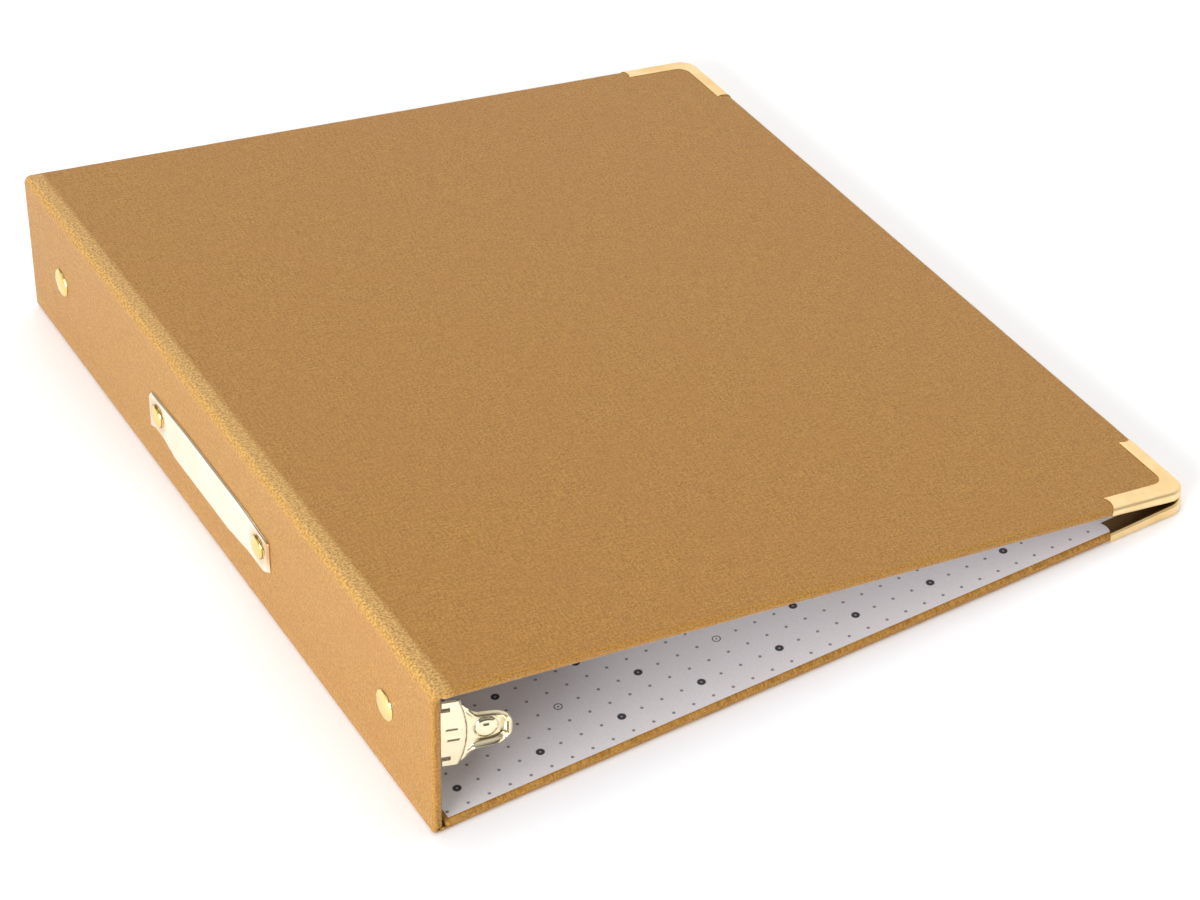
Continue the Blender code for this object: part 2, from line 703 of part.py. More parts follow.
def lever_relief(s, z):
    """Height of the thumb side above the lever's flat."""
    crease = 8.0 * MM - 1.5 * MM * (z / LEVER_HALF_WIDTH) ** 2
    relief = -math.tan(math.radians(2.0)) * max(s - crease, 0.0)
    spread = abs(z) / lever_half_width(s)
    rim = smooth_step(0.70, 1.0, spread) * smooth_step(8 * MM, 13 * MM, s)
    rim = max(rim, smooth_step(18.6 * MM, LEVER_LENGTH, s))
    from_boss = math.hypot(s - 14.2 * MM, z)
    boss = 1 - smooth_step(2.0 * MM, 3.6 * MM, from_boss)
    return relief + 1.2 * MM * rim + 0.9 * MM * boss


def lever(end, sign):
    """Sheet lever curled round its pin, with a flared and rimmed thumb tab."""
    along = Vector((math.cos(LEVER_TILT), sign * math.sin(LEVER_TILT), 0.0))
    outward = Vector((-math.sin(LEVER_TILT), sign * math.cos(LEVER_TILT), 0.0))
    rows = []
    for k in range(11):
        a = math.radians(235.0 * (1 - k / 11))
        rows.append(("curl", a))
    stations = [0.0, 1.3, 2.6, 3.8, 5.0, 6.0, 7.0, 8.2, 9.4, 10.6, 11.7, 12.8, 13.9,
                15.0, 16.2, 17.3, 18.4, 19.4, 20.3, 21.1, 21.6, 22.0]
    for s in stations:
        rows.append(("flat", s * MM))
    edges = [-11.7, -10.75, -9.75, -8.2, -6.4, -4.6, -3.0, -1.5, 0.0,
             1.5, 3.0, 4.6, 6.4, 8.2, 9.75, 10.75, 11.7]

    def middle(row, z_unit):
        kind, value = row
        if kind == "curl":
            return (outward * math.cos(value) - along * math.sin(value)) \
                * LEVER_CURL_RADIUS + Vector((0, 0, z_unit))
        z = z_unit / LEVER_HALF_WIDTH * lever_half_width(value)
        return (outward * (LEVER_CURL_RADIUS + lever_relief(value, z))
                + along * value + Vector((0, 0, z)))

    grid = [[middle(row, e * MM) for e in edges] for row in rows]
    last_row = len(rows) - 1
    last_col = len(edges) - 1
    bm = bmesh.new()
    front = {}
    back = {}
    for i in range(last_row + 1):
        for j in range(last_col + 1):
            down = grid[min(i + 1, last_row)][j] - grid[max(i - 1, 0)][j]
            right = grid[i][min(j + 1, last_col)] - grid[i][max(j - 1, 0)]
            normal = down.cross(right).normalized()
            offset = normal * LEVER_SHEET / 2
            front[i, j] = grid[i][j] + offset
            back[i, j] = grid[i][j] - offset

    def active(i, j):
        if not (0 <= i < last_row and 0 <= j < last_col):
            return False
        middle_z = abs(edges[j] + edges[j + 1]) / 2 * MM
        kind, value = rows[i]
        if middle_z < LEVER_TONGUE:
            return True
        if kind == "curl":
            return False
        if middle_z < LEVER_SLIT_OUTER:
            return value > 4.9 * MM
        return value > 2.5 * MM

    made = {}

    def vert(table, tag, key):
        if (tag, key) not in made:
            made[tag, key] = bm.verts.new(table[key])
        return made[tag, key]

    for i in range(last_row):
        for j in range(last_col):
            if not active(i, j):
                continue
            keys = [(i, j), (i, j + 1), (i + 1, j + 1), (i + 1, j)]
            bm.faces.new([vert(front, "f", k) for k in keys])
            bm.faces.new([vert(back, "b", k) for k in reversed(keys)])
            sides = [((i, j), (i, j + 1), (i - 1, j)),
                     ((i, j + 1), (i + 1, j + 1), (i, j + 1)),
                     ((i + 1, j + 1), (i + 1, j), (i + 1, j)),
                     ((i + 1, j), (i, j), (i, j - 1))]
            for a, b, neighbour in sides:
                if not active(*neighbour):
                    bm.faces.new([vert(front, "f", b), vert(front, "f", a),
                                  vert(back, "b", a), vert(back, "b", b)])
    return finish("opening_lever_" + end, bm, GOLD_MAT, LEVER_FRAMES[end], 45.0)


for end, sign in (("tail", -1), ("head", 1)):
    lever(end, sign)
    pin = bmesh.new()
    shank = LEVER_PIN_RADIUS
    flat = 9.55 * MM
    revolve(pin, (LEVER_PIVOT_X, sign * LEVER_PIVOT_Y, MECH_CENTRE_Z), (0, 0, 1),
            [(0.0, -flat - 0.45 * MM), (1.1 * MM, -flat - 0.45 * MM),
             (1.5 * MM, -flat - 0.2 * MM), (1.5 * MM, -flat), (shank, -flat),
             (shank, flat), (1.5 * MM, flat), (1.5 * MM, flat + 0.2 * MM),
             (1.1 * MM, flat + 0.45 * MM), (0.0, flat + 0.45 * MM)], 16)
    finish("lever_pin_" + end, pin, GOLD_MAT, SPINE)


# ---- stand the album on the middle of its footprint ---------------------------------
bpy.context.view_layer.update()
corners = []
for piece in bpy.context.scene.objects:
    if piece.type == "MESH":
        corners += [piece.matrix_world @ v.co for v in piece.data.vertices]
low_x = min(p.x for p in corners)
high_x = max(p.x for p in corners)
ALBUM.location.x = -(low_x + high_x) / 2
bpy.context.view_layer.update()
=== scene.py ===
import math

import bpy
import bmesh
from mathutils import Matrix, Vector, noise


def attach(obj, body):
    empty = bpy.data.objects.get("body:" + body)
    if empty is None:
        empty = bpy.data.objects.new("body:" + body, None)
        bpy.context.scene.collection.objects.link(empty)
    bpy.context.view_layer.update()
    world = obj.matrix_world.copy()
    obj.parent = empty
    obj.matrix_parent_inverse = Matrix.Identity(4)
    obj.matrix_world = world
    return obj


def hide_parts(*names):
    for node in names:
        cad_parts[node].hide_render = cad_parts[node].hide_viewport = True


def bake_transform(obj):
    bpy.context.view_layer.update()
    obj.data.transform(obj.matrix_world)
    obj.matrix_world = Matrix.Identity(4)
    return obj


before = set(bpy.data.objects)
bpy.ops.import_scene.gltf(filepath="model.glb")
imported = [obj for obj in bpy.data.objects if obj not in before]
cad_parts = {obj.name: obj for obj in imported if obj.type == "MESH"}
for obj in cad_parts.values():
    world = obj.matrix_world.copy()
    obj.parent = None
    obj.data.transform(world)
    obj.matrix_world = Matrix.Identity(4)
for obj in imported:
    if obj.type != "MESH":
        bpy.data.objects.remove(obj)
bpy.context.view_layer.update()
MM = 0.001

# ---- the album's own frames, as the CAD has them (metres) -------------------
HALF = 149.25 * MM               # half the length, tail to head
REACH = 263.3 * MM               # hinge line to fore edge
SPINE_HEIGHT = 52.15 * MM        # lower hinge line to upper hinge line
SPINE_LEAN = math.radians(4.03)
COVER_SLOPE = math.radians(9.5577)
THICK = 3.2 * MM                 # a cloth-covered board
GUTTER = 4.2 * MM                # hinge line to the back cover's near edge
FRONT_NEAR = 3.55 * MM           # hinge line to the front cover's near edge
SPINE_END = 0.95 * MM
CLOTH = 0.5 * MM
EDGE_ROUND = 1.15 * MM
FRONT_LAP = 7.0 * MM             # gutter cloth reaches this far over each board
BACK_LAP = 6.0 * MM
FRONT_FOLD = 2.5 * MM            # radius of the cloth over the spine's top edge
BACK_FOLD = 1.4 * MM
STRIP_DEPTH = 1.2 * MM           # the gutter cloth's ends wrap down this far
CORNER_ROUND = 5.15 * MM


class Frame:
    """u runs away from the hinge, v from tail to head, w inward from the cloth."""

    def __init__(self, origin, u_axis, w_axis):
        self.origin, self.u_axis, self.w_axis = origin, u_axis, w_axis

    def __call__(self, u, v, w):
        return (self.origin + self.u_axis * u + self.w_axis * w
                + Vector((0.0, v, 0.0)))


LOWER_HINGE = Vector((-131.762 * MM, 0.0, 0.0))
SPINE_UP = Vector((math.sin(SPINE_LEAN), 0.0, math.cos(SPINE_LEAN)))
SPINE_IN = Vector((math.cos(SPINE_LEAN), 0.0, -math.sin(SPINE_LEAN)))
RIDGE = LOWER_HINGE + SPINE_UP * SPINE_HEIGHT
FRONT_OUT = Vector((math.cos(COVER_SLOPE), 0.0, -math.sin(COVER_SLOPE)))
FRONT_IN = Vector((-math.sin(COVER_SLOPE), 0.0, -math.cos(COVER_SLOPE)))
BACK = Frame(LOWER_HINGE, Vector((1, 0, 0)), Vector((0, 0, 1)))
SPINE = Frame(LOWER_HINGE, SPINE_UP, SPINE_IN)
FRONT = Frame(RIDGE, FRONT_OUT, FRONT_IN)


# ---- node helpers -----------------------------------------------------------
class Nodes:
    """Short-hand for building the node tree of a material or a world."""

    def __init__(self, owner):
        owner.use_nodes = True
        self.owner = owner
        self.tree = owner.node_tree
        self.shader = self.tree.nodes.get("Principled BSDF")

    def add(self, kind, **settings):
        node = self.tree.nodes.new(kind)
        for key, value in settings.items():
            setattr(node, key, value)
        return node

    def link(self, source, target):
        self.tree.links.new(source, target)

    def plug(self, socket, value):
        if isinstance(value, bpy.types.NodeSocket):
            self.link(value, socket)
        else:
            socket.default_value = value

    def math(self, operation, *values, clamp=False):
        node = self.add("ShaderNodeMath", operation=operation, use_clamp=clamp)
        for socket, value in zip(node.inputs, values):
            self.plug(socket, value)
        return node.outputs[0]

    def plus(self, a, b):
        return self.math("ADD", a, b)

    def minus(self, a, b):
        return self.math("SUBTRACT", a, b)

    def times(self, a, b):
        return self.math("MULTIPLY", a, b)

    def vector(self, operation, *values):
        node = self.add("ShaderNodeVectorMath", operation=operation)
        for socket, value in zip(node.inputs, values):
            self.plug(socket, value)
        return node.outputs["Value" if operation in ("DOT_PRODUCT", "LENGTH") else 0]

    def separate(self, vector):
        node = self.add("ShaderNodeSeparateXYZ")
        self.link(vector, node.inputs[0])
        return node.outputs

    def noise(self, vector, scale, detail=2.0, roughness=0.5):
        node = self.add("ShaderNodeTexNoise")
        node.inputs["Scale"].default_value = scale
        node.inputs["Detail"].default_value = detail
        node.inputs["Roughness"].default_value = roughness
        self.link(vector, node.inputs["Vector"])
        return node.outputs["Fac"]

    def remap(self, value, low, high, to_low, to_high):
        node = self.add("ShaderNodeMapRange")
        for socket, item in zip(node.inputs, (value, low, high, to_low, to_high)):
            self.plug(socket, item)
        return node.outputs[0]

    def mix(self, factor, a, b, blend="MIX"):
        node = self.add("ShaderNodeMix", data_type="RGBA", blend_type=blend)
        self.plug(node.inputs[0], factor)
        self.plug(node.inputs[6], a if isinstance(a, bpy.types.NodeSocket) else (*a, 1.0))
        self.plug(node.inputs[7], b if isinstance(b, bpy.types.NodeSocket) else (*b, 1.0))
        return node.outputs[2]

    def bump(self, height, strength, distance, normal=None):
        node = self.add("ShaderNodeBump")
        node.inputs["Strength"].default_value = strength
        node.inputs["Distance"].default_value = distance
        self.link(height, node.inputs["Height"])
        if normal is not None:
            self.link(normal, node.inputs["Normal"])
        return node.outputs[0]

    def set(self, **values):
        for key, value in values.items():
            self.plug(self.shader.inputs[key.replace("_", " ")], value)
        return self.owner


def material_nodes(name):
    return Nodes(bpy.data.materials.new(name))


def srgb(r, g, b):
    """8-bit sRGB to the linear numbers a shader takes."""
    def one(c):
        c /= 255.0
        return c / 12.92 if c <= 0.04045 else ((c + 0.055) / 1.055) ** 2.4
    return (one(r), one(g), one(b))


# ---- materials --------------------------------------------------------------
THREAD = 0.46                    # mm between neighbouring threads


def cloth_material():
    """Metallic-thread book cloth: plain weave, slubs, mottling, a painted highlight over the
    folds and paler rounded edges.
    """
    n = material_nodes("bronze_metallic_cloth")
    uv = n.add("ShaderNodeUVMap", uv_map="weave").outputs[0]
    mm = n.vector("MULTIPLY", uv, (1000.0, 1000.0, 0.0))
    wander = n.noise(mm, 0.35, 2.0)
    x, y, _ = n.separate(mm)
    bend = n.times(n.minus(wander, 0.5), 0.35)
    x = n.plus(x, bend)
    y = n.plus(y, bend)
    across = n.times(x, math.pi / THREAD)
    along = n.times(y, math.pi / THREAD)
    sin_x = n.math("SINE", across)
    sin_y = n.math("SINE", along)
    over = n.math("GREATER_THAN", n.times(sin_x, sin_y), 0.0)
    ridge_x = n.math("ABSOLUTE", sin_x)
    ridge_y = n.math("ABSOLUTE", sin_y)
    weft = n.times(n.math("SQRT", ridge_y), n.math("MULTIPLY_ADD", ridge_x, 0.5, 0.5))
    warp = n.times(n.math("SQRT", ridge_x), n.math("MULTIPLY_ADD", ridge_y, 0.5, 0.5))
    under = n.minus(1.0, over)
    height = n.plus(n.times(over, weft), n.times(under, warp))
    slub_weft = n.noise(n.vector("MULTIPLY", mm, (0.16, 1.7, 0.0)), 1.0, 2.0, 0.6)
    slub_warp = n.noise(n.vector("MULTIPLY", mm, (1.7, 0.16, 0.0)), 1.0, 2.0, 0.6)
    slub = n.plus(n.times(over, slub_weft), n.times(under, slub_warp))
    grain = n.noise(mm, 1.25, 3.0, 0.65)
    cloud = n.noise(mm, 0.055, 3.0, 0.5)
    fleck = n.noise(mm, 3.1, 1.0, 0.5)
    fold = n.add("ShaderNodeAttribute", attribute_name="fold").outputs["Fac"]

    deep = srgb(136, 88, 12)
    middle = srgb(168, 116, 32)
    bright = srgb(198, 144, 56)
    tone = n.plus(n.times(slub, 0.40), n.times(grain, 0.60))
    tone = n.remap(tone, 0.39, 0.61, 0.0, 1.0)
    colour = n.mix(tone, deep, bright)
    colour = n.mix(0.15, colour, middle)
    colour = n.mix(n.remap(cloud, 0.35, 0.65, 0.0, 0.35), colour, srgb(170, 114, 40))
    gap = n.remap(height, 0.1, 0.55, 0.45, 0.0)
    colour = n.mix(gap, colour, srgb(104, 66, 14))
    glint = n.remap(fleck, 0.56, 0.70, 0.0, 1.0)
    # painted highlight: the fold attribute mixes in a pale colour over the spine's top edge,
    # broken up by the grain; it also makes rounded edges paler
    highlight_and_pale_edges = n.times(fold, n.remap(grain, 0.40, 0.60, 0.25, 1.35))
    colour = n.mix(n.times(highlight_and_pale_edges, 0.50), colour, srgb(232, 190, 116))
    colour = n.mix(n.times(glint, 0.20), colour, srgb(236, 198, 120))
    rough = n.minus(n.remap(tone, 0.0, 1.0, 0.56, 0.46), n.times(glint, 0.10))
    metal = n.math("MULTIPLY_ADD", glint, 0.20, 0.06)
    coarse = n.plus(n.times(height, 0.6), n.times(grain, 0.9))
    coarse = n.plus(coarse, n.times(slub, 0.6))
    normal = n.bump(coarse, 0.60, 0.13 * MM)
    n.shader.inputs["Sheen Weight"].default_value = 0.26
    n.shader.inputs["Sheen Roughness"].default_value = 0.4
    n.shader.inputs["Sheen Tint"].default_value = (1.0, 0.92, 0.80, 1.0)
    n.shader.inputs["Specular IOR Level"].default_value = 0.34
    return n.set(Base_Color=colour, Roughness=rough, Metallic=metal, Normal=normal)


def liner_material(name, f):
    """White paper printed with a grid of small dots and larger round marks."""
    n = material_nodes(name)
    pitch, turn = 6.74, math.radians(0.34)    # the grid's step in mm, and its skew
    first_u, first_v = 6.30, 3.4              # mm from the sheet's tail corner
    place = n.add("ShaderNodeTexCoord").outputs["Object"]
    corner = f(0.0, -HALF, 0.0)
    local = n.vector("SUBTRACT", place, tuple(corner))
    u = n.times(n.vector("DOT_PRODUCT", local, tuple(f.u_axis)), 1000.0)
    v = n.times(n.separate(local)[1], 1000.0)
    u = n.minus(u, first_u)
    v = n.minus(v, first_v)
    cos, sin = math.cos(turn) / pitch, math.sin(turn) / pitch
    i = n.plus(n.times(u, cos), n.times(v, sin))
    j = n.minus(n.times(v, cos), n.times(u, sin))
    column, row = n.math("ROUND", i), n.math("ROUND", j)
    du, dv = n.minus(i, column), n.minus(j, row)
    squares = n.plus(n.times(du, du), n.times(dv, dv))
    r = n.times(n.math("SQRT", squares), pitch)

    def every(value, period, rest):
        part = n.math("FLOORED_MODULO", value, float(period))
        return n.math("COMPARE", part, float(rest), 0.25)

    def disc(radius, soft=0.10):
        return n.remap(r, radius - soft, radius + soft, 1.0, 0.0)

    first = n.times(every(row, 4, 1), every(column, 4, 1))
    second = n.times(every(row, 4, 3), every(column, 8, 3))
    hollow = n.times(every(row, 4, 3), every(column, 8, 7))
    solid = n.plus(first, second)
    large = n.minus(disc(1.32), n.times(disc(0.28, 0.14), 0.55))
    ring = n.minus(disc(1.34), disc(1.02))
    ring = n.plus(ring, n.times(disc(0.34, 0.12), 0.8))
    plain = n.minus(1.0, n.plus(solid, hollow))
    small = n.times(disc(0.50), 0.72)
    ink = n.plus(n.times(plain, small), n.times(solid, large))
    ink = n.plus(ink, n.times(hollow, ring))
    ink = n.times(ink, n.remap(n.noise(place, 9000.0), 0.2, 0.6, 0.86, 1.0))
    fibre = n.noise(place, 1400.0, 4.0, 0.6)
    tone = n.noise(place, 28.0, 2.0)
    paper = n.mix(n.remap(fibre, 0.3, 0.7, 0.0, 1.0), srgb(231, 226, 226),
                  srgb(239, 235, 235))
    paper = n.mix(n.remap(tone, 0.3, 0.7, 0.0, 0.5), paper, srgb(232, 226, 225))
    colour = n.mix(ink, paper, srgb(34, 32, 38))
    rough = n.remap(ink, 0.0, 1.0, 0.72, 0.5)
    return n.set(Base_Color=colour, Roughness=rough,
                 Normal=n.bump(fibre, 0.25, 0.03 * MM))


def metal_material(name, base, shade, rough, grain, scratch, dark=(96, 62, 22)):
    """Plated metal with faint handling marks, cloudy polish and fine lines.

    A vertex attribute paints shade and dark reflections into the colour: it darkens recesses
    and inner faces.
    """
    n = material_nodes(name)
    painted_shade = n.add("ShaderNodeAttribute", attribute_name="painted_shade").outputs["Fac"]
    place = n.add("ShaderNodeTexCoord").outputs["Object"]
    cloud = n.noise(place, 90.0, 4.0, 0.55)
    fine = n.noise(place, 2600.0, 2.0, 0.6)
    lines = n.noise(n.vector("MULTIPLY", place, (220.0, 5200.0, 900.0)), 1.0, 3.0, 0.7)
    marks = n.remap(n.noise(n.vector("MULTIPLY", place, (900.0, 130.0, 700.0)), 1.0,
                            5.0, 0.7), 0.60, 0.70, 0.0, 1.0)
    colour = n.mix(n.remap(cloud, 0.35, 0.70, 0.0, 1.0), base, shade)
    colour = n.mix(n.times(marks, 0.18), colour, shade)
    # painted shade and painted dark reflections, from the vertex attribute
    colour = n.mix(painted_shade, colour, srgb(*dark))
    spread = n.remap(n.plus(n.times(cloud, 0.6), n.times(lines, 0.4)), 0.35, 0.65,
                     rough - grain, rough + grain)
    height = n.plus(n.times(lines, scratch), n.times(fine, 0.35))
    n.shader.inputs["Metallic"].default_value = 1.0
    return n.set(Base_Color=colour, Roughness=spread,
                 Normal=n.bump(height, 0.12, 0.02 * MM))


def board_material():
    n = material_nodes("grey_board_fibre")
    place = n.add("ShaderNodeTexCoord").outputs["Object"]
    pulp = n.noise(place, 900.0, 5.0, 0.7)
    colour = n.mix(pulp, srgb(118, 110, 100), srgb(160, 152, 140))
    return n.set(Base_Color=colour, Roughness=n.remap(pulp, 0.3, 0.7, 0.8, 0.95),
                 Normal=n.bump(pulp, 0.4, 0.1 * MM))


CLOTH_LOOK = cloth_material()
CORNER_LOOK = metal_material("satin_pale_gold", srgb(250, 222, 168), srgb(238, 203, 142),
                             0.40, 0.07, 0.6)
PLATE_LOOK = metal_material("polished_gold_plate", srgb(255, 251, 236),
                            srgb(253, 244, 216), 0.14, 0.04, 0.15, dark=(196, 140, 70))
MECHANISM_LOOK = metal_material("polished_light_gold", srgb(255, 238, 196),
                                srgb(246, 220, 166), 0.10, 0.03, 0.12)
RIVET_LOOK = metal_material("polished_gold_rivet", srgb(252, 228, 158),
                            srgb(240, 206, 126), 0.10, 0.03, 0.1)
LEVER_LOOK = metal_material("polished_cream_lever", srgb(255, 246, 214),
                            srgb(250, 232, 184), 0.12, 0.03, 0.12, dark=(92, 70, 30))
BOARD_LOOK = board_material()

for node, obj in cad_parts.items():
    if node.endswith("_board"):
        look = BOARD_LOOK
    elif node.endswith("_liner") or "cloth" in node:
        continue
    elif "corner" in node:
        look = CORNER_LOOK
    elif node == "spine_name_plate":
        look = PLATE_LOOK
    elif "rivet" in node:
        look = RIVET_LOOK
    else:
        look = MECHANISM_LOOK
    for slot in obj.material_slots:
        slot.link = "OBJECT"
        slot.material = look


# ---- the cloth as one unfolded sheet ------------------------------------------
FRONT_TURN = math.pi - (-SPINE_UP).angle(FRONT_OUT)
BACK_TURN = math.pi - SPINE_UP.angle(Vector((1, 0, 0)))


def strip_length(lap, radius, turn):
    """Length of gutter cloth from lap to lap, over the rounded edge."""
    return 2 * (lap - radius * math.tan(turn / 2)) + radius * turn


FRONT_STRIP = strip_length(FRONT_LAP, FRONT_FOLD, FRONT_TURN)
BACK_STRIP = strip_length(BACK_LAP, BACK_FOLD, BACK_TURN)
SPINE_START = FRONT_LAP - FRONT_STRIP    # weave coordinate at the spine's top lap
BACK_START = SPINE_START - (SPINE_HEIGHT - FRONT_LAP - BACK_LAP) - BACK_STRIP


def smooth(low, high, value):
    t = min(max((value - low) / (high - low), 0.0), 1.0)
    return t * t * (3 - 2 * t)


def ridge_highlight(s):
    """Painted highlight on the cloth over the spine's top edge, by weave coordinate."""
    return smooth(-2.5 * MM, 1.8 * MM, s) * (1 - smooth(5.4 * MM, 7.2 * MM, s))


def sink(s, v):
    """How far the cloth lies below its flat height, from its own unevenness."""
    slow = noise.noise(Vector((s * 28.0, v * 22.0, 3.1)))
    quick = noise.noise(Vector((s * 90.0, v * 70.0, 7.7)))
    return (0.045 + 0.035 * slow + 0.012 * quick) * MM


def uneven_edge(s, v):
    """The board's edge under the cloth isn't quite straight."""
    return 0.10 * MM * (noise.noise(Vector((s * 60.0, v * 60.0, 11.0)))
                        + 0.5 * noise.noise(Vector((s * 190.0, v * 190.0, 5.0))) + 0.6)


def graded(low, high, fine, coarse, margin):
    """Stations from low to high, close together near both ends."""
    out = [low]
    while out[-1] < high - 1e-9:
        edge = min(out[-1] - low, high - out[-1])
        blend = min(max(edge - margin * 0.25, 0.0) / margin, 1.0)
        out.append(out[-1] + fine + (coarse - fine) * blend)
    span = out[-1] - low
    return [low + (p - low) * (high - low) / span for p in out]


def stations(stops, counts):
    """From the first stop to the last, with a count of equal steps between each two."""
    out = [stops[0]]
    for low, high, count in zip(stops, stops[1:], counts):
        out += [low + (high - low) * (k + 1) / count for k in range(count)]
    return out


def rounded(u, v, u0, u1, v0, v1, near, far):
    """Moves a point of a rectangle so that its corners become round."""
    depth = max(min(u - u0, u1 - u, v - v0, v1 - v), 0.0)
    a0, a1, b0, b1 = u0 + depth, u1 - depth, v0 + depth, v1 - depth
    from_u = min(u - a0, a1 - u)
    from_v = min(v - b0, b1 - v)
    is_far = u > (u0 + u1) / 2
    radius = (far if is_far else near) - depth
    if radius <= 1e-6 or (from_u > radius or from_v > radius):
        return u, v
    if from_v <= from_u:
        angle = math.pi / 4 * (from_u / radius)
        out_u = radius * (1 - math.cos(math.pi / 4 + angle))
        out_v = radius * (1 - math.sin(math.pi / 4 + angle))
    else:
        angle = math.pi / 4 * (from_v / radius)
        out_v = radius * (1 - math.cos(math.pi / 4 + angle))
        out_u = radius * (1 - math.sin(math.pi / 4 + angle))
    new_u = a1 - out_u if is_far else a0 + out_u
    new_v = b1 - out_v if v > 0 else b0 + out_v
    return new_u, new_v


def arc_pairs(radius, w_face, w_side, count):
    """(inset, w) from a face round to a side."""
    sign = math.copysign(1.0, w_side - w_face)
    return [(radius * (1 - math.sin(math.pi / 2 * k / count)),
             w_face + sign * radius * (1 - math.cos(math.pi / 2 * k / count)))
            for k in range(count + 1)]


def piece(name, bm, look, body, node, angle=50.0):
    """Makes the piece that stands for a CAD node; edges past the angle stay crisp."""
    bmesh.ops.recalc_face_normals(bm, faces=bm.faces)
    for face in bm.faces:
        face.smooth = True
    mesh = bpy.data.meshes.new(name)
    bm.to_mesh(mesh)
    bm.free()
    mesh.set_sharp_from_angle(angle=math.radians(angle))
    mesh.materials.append(look)
    made = bpy.data.objects.new(name, mesh)
    bpy.context.scene.collection.objects.link(made)
    if body:
        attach(made, body)
    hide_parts(node)
    return made


def join_skins(bm, a, b):
    """Faces of two matching grids of vertices, joined all round their borders."""
    rows, columns = len(a), len(a[0])
    for i in range(rows - 1):
        for j in range(columns - 1):
            bm.faces.new((a[i][j], a[i][j + 1], a[i + 1][j + 1], a[i + 1][j]))
            bm.faces.new((b[i][j], b[i + 1][j], b[i + 1][j + 1], b[i][j + 1]))
        for j in (0, columns - 1):
            bm.faces.new((a[i][j], a[i + 1][j], b[i + 1][j], b[i][j]))
    for j in range(columns - 1):
        for i in (0, rows - 1):
            bm.faces.new((a[i][j], b[i][j], b[i][j + 1], a[i][j + 1]))


def place_weave(bm, weave, places):
    """Writes each vertex's place on the unfolded cloth into the weave map."""
    for face in bm.faces:
        for loop in face.loops:
            loop[weave].uv = places[loop.vert]


def covered_board(name, body, f, u0, u1, laps, ledges, near, far, turn_in,
                  weave_at, node, recess=None):
    """Book cloth wrapped round one board, as a closed sheet.

    u0 and u1 are the board's near and far edges; near and far round its corners.
    laps: width of the ledge under the gutter cloth along the near and the far edge.
    ledges: the depth that each ledge slopes down to.
    weave_at gives the weave coordinate at u; recess moves points after they are made.
    """
    us = graded(u0, u1, 0.45 * MM, 4.5 * MM, 30 * MM)
    vs = graded(-HALF, HALF, 0.45 * MM, 4.5 * MM, 30 * MM)
    nu, nv = len(us) - 1, len(vs) - 1
    ring = ([(i, 0) for i in range(nu)] + [(nu, j) for j in range(nv)]
            + [(i, nv) for i in range(nu, 0, -1)] + [(0, j) for j in range(nv, 0, -1)])
    edge = arc_pairs(EDGE_ROUND, 0.0, THICK, 6)
    top = list(reversed(arc_pairs(EDGE_ROUND, THICK, 0.0, 5)))
    profile = edge + [(0.0, STRIP_DEPTH)] + top + [
        (turn_in * 0.5, THICK), (turn_in, THICK), (turn_in, THICK - CLOTH),
        (CLOTH, THICK - CLOTH), (CLOTH, CLOTH + STRIP_DEPTH)]
    lap_levels = len(edge)
    bm = bmesh.new()
    weave = bm.loops.layers.uv.new("weave")
    fold = bm.verts.layers.float.new("fold")
    direction = weave_at(1.0) - weave_at(0.0)
    places = {}

    def put(i, j, level, inset, w, wrap, ragged=0.0):
        u, v = us[i], vs[j]
        over = level < lap_levels
        spread = [lap if lap and over else inset + ragged for lap in laps]
        low_u, high_u = u0 + spread[0], u1 - spread[1]
        low_v, high_v = -HALF + inset + ragged, HALF - inset - ragged
        uu = low_u + (u - u0) * (high_u - low_u) / (u1 - u0)
        vv = low_v + (v + HALF) * (high_v - low_v) / (2 * HALF)
        radii = [0.02 * MM if lap and over else max(r - inset, 0.05 * MM)
                 for lap, r in zip(laps, (near, far))]
        uu, vv = rounded(uu, vv, low_u, high_u, low_v, high_v, *radii)
        if level == lap_levels:
            for side in (0, 1):
                if i == (0, nu)[side] and laps[side]:
                    w = ledges[side]
        s = weave_at(uu)
        drop = sink(s, vv) if w < THICK / 2 else 0.0
        vert = bm.verts.new(f(uu, vv, w + drop))
        out_u = wrap * (1 if i == nu and not (laps[1] and over) else
                        -1 if i == 0 and not (laps[0] and over) else 0)
        out_v = wrap * (1 if j == nv else -1 if j == 0 else 0)
        if i in (0, nu) and j in (0, nv):
            out_u = 0.0
        places[vert] = (s + out_u * direction, vv + out_v)
        # the cloth is made paler on the board's rounded edges; over the spine's top edge it
        # carries a painted highlight
        edge_paleness = 0.22 if 1 <= level <= 5 or 8 <= level <= 12 else 0.0
        vert[fold] = max(ridge_highlight(s), edge_paleness)
        return vert

    levels = []
    travelled = 0.0
    for level, (inset, w) in enumerate(profile):
        if level:
            before = profile[level - 1]
            travelled += math.hypot(inset - before[0], w - before[1])
        row = []
        for i, j in ring:
            ragged = uneven_edge(us[i], vs[j] + 1.0) if 0 < level < 13 else 0.0
            if laps[0] and i == 0 or laps[1] and i == nu:
                ragged = 0.0
            row.append(put(i, j, level, inset, w, travelled, ragged))
        levels.append(row)
    count = len(ring)
    for low, high in zip(levels, levels[1:]):
        for k in range(count):
            n = (k + 1) % count
            bm.faces.new((low[k], high[k], high[n], low[n]))
    # The outer face is a grid, the hidden inner face one cap.
    where = {key: levels[0][k] for k, key in enumerate(ring)}
    for i in range(1, nu):
        for j in range(1, nv):
            where[i, j] = put(i, j, 0, profile[0][0], 0.0, 0.0)
    for i in range(nu):
        for j in range(nv):
            bm.faces.new((where[i, j], where[i, j + 1], where[i + 1, j + 1],
                          where[i + 1, j]))
    bm.faces.new(levels[-1])
    if recess:
        for vert in bm.verts:
            recess(vert)
    place_weave(bm, weave, places)
    made = piece(name, bm, CLOTH_LOOK, body, node)


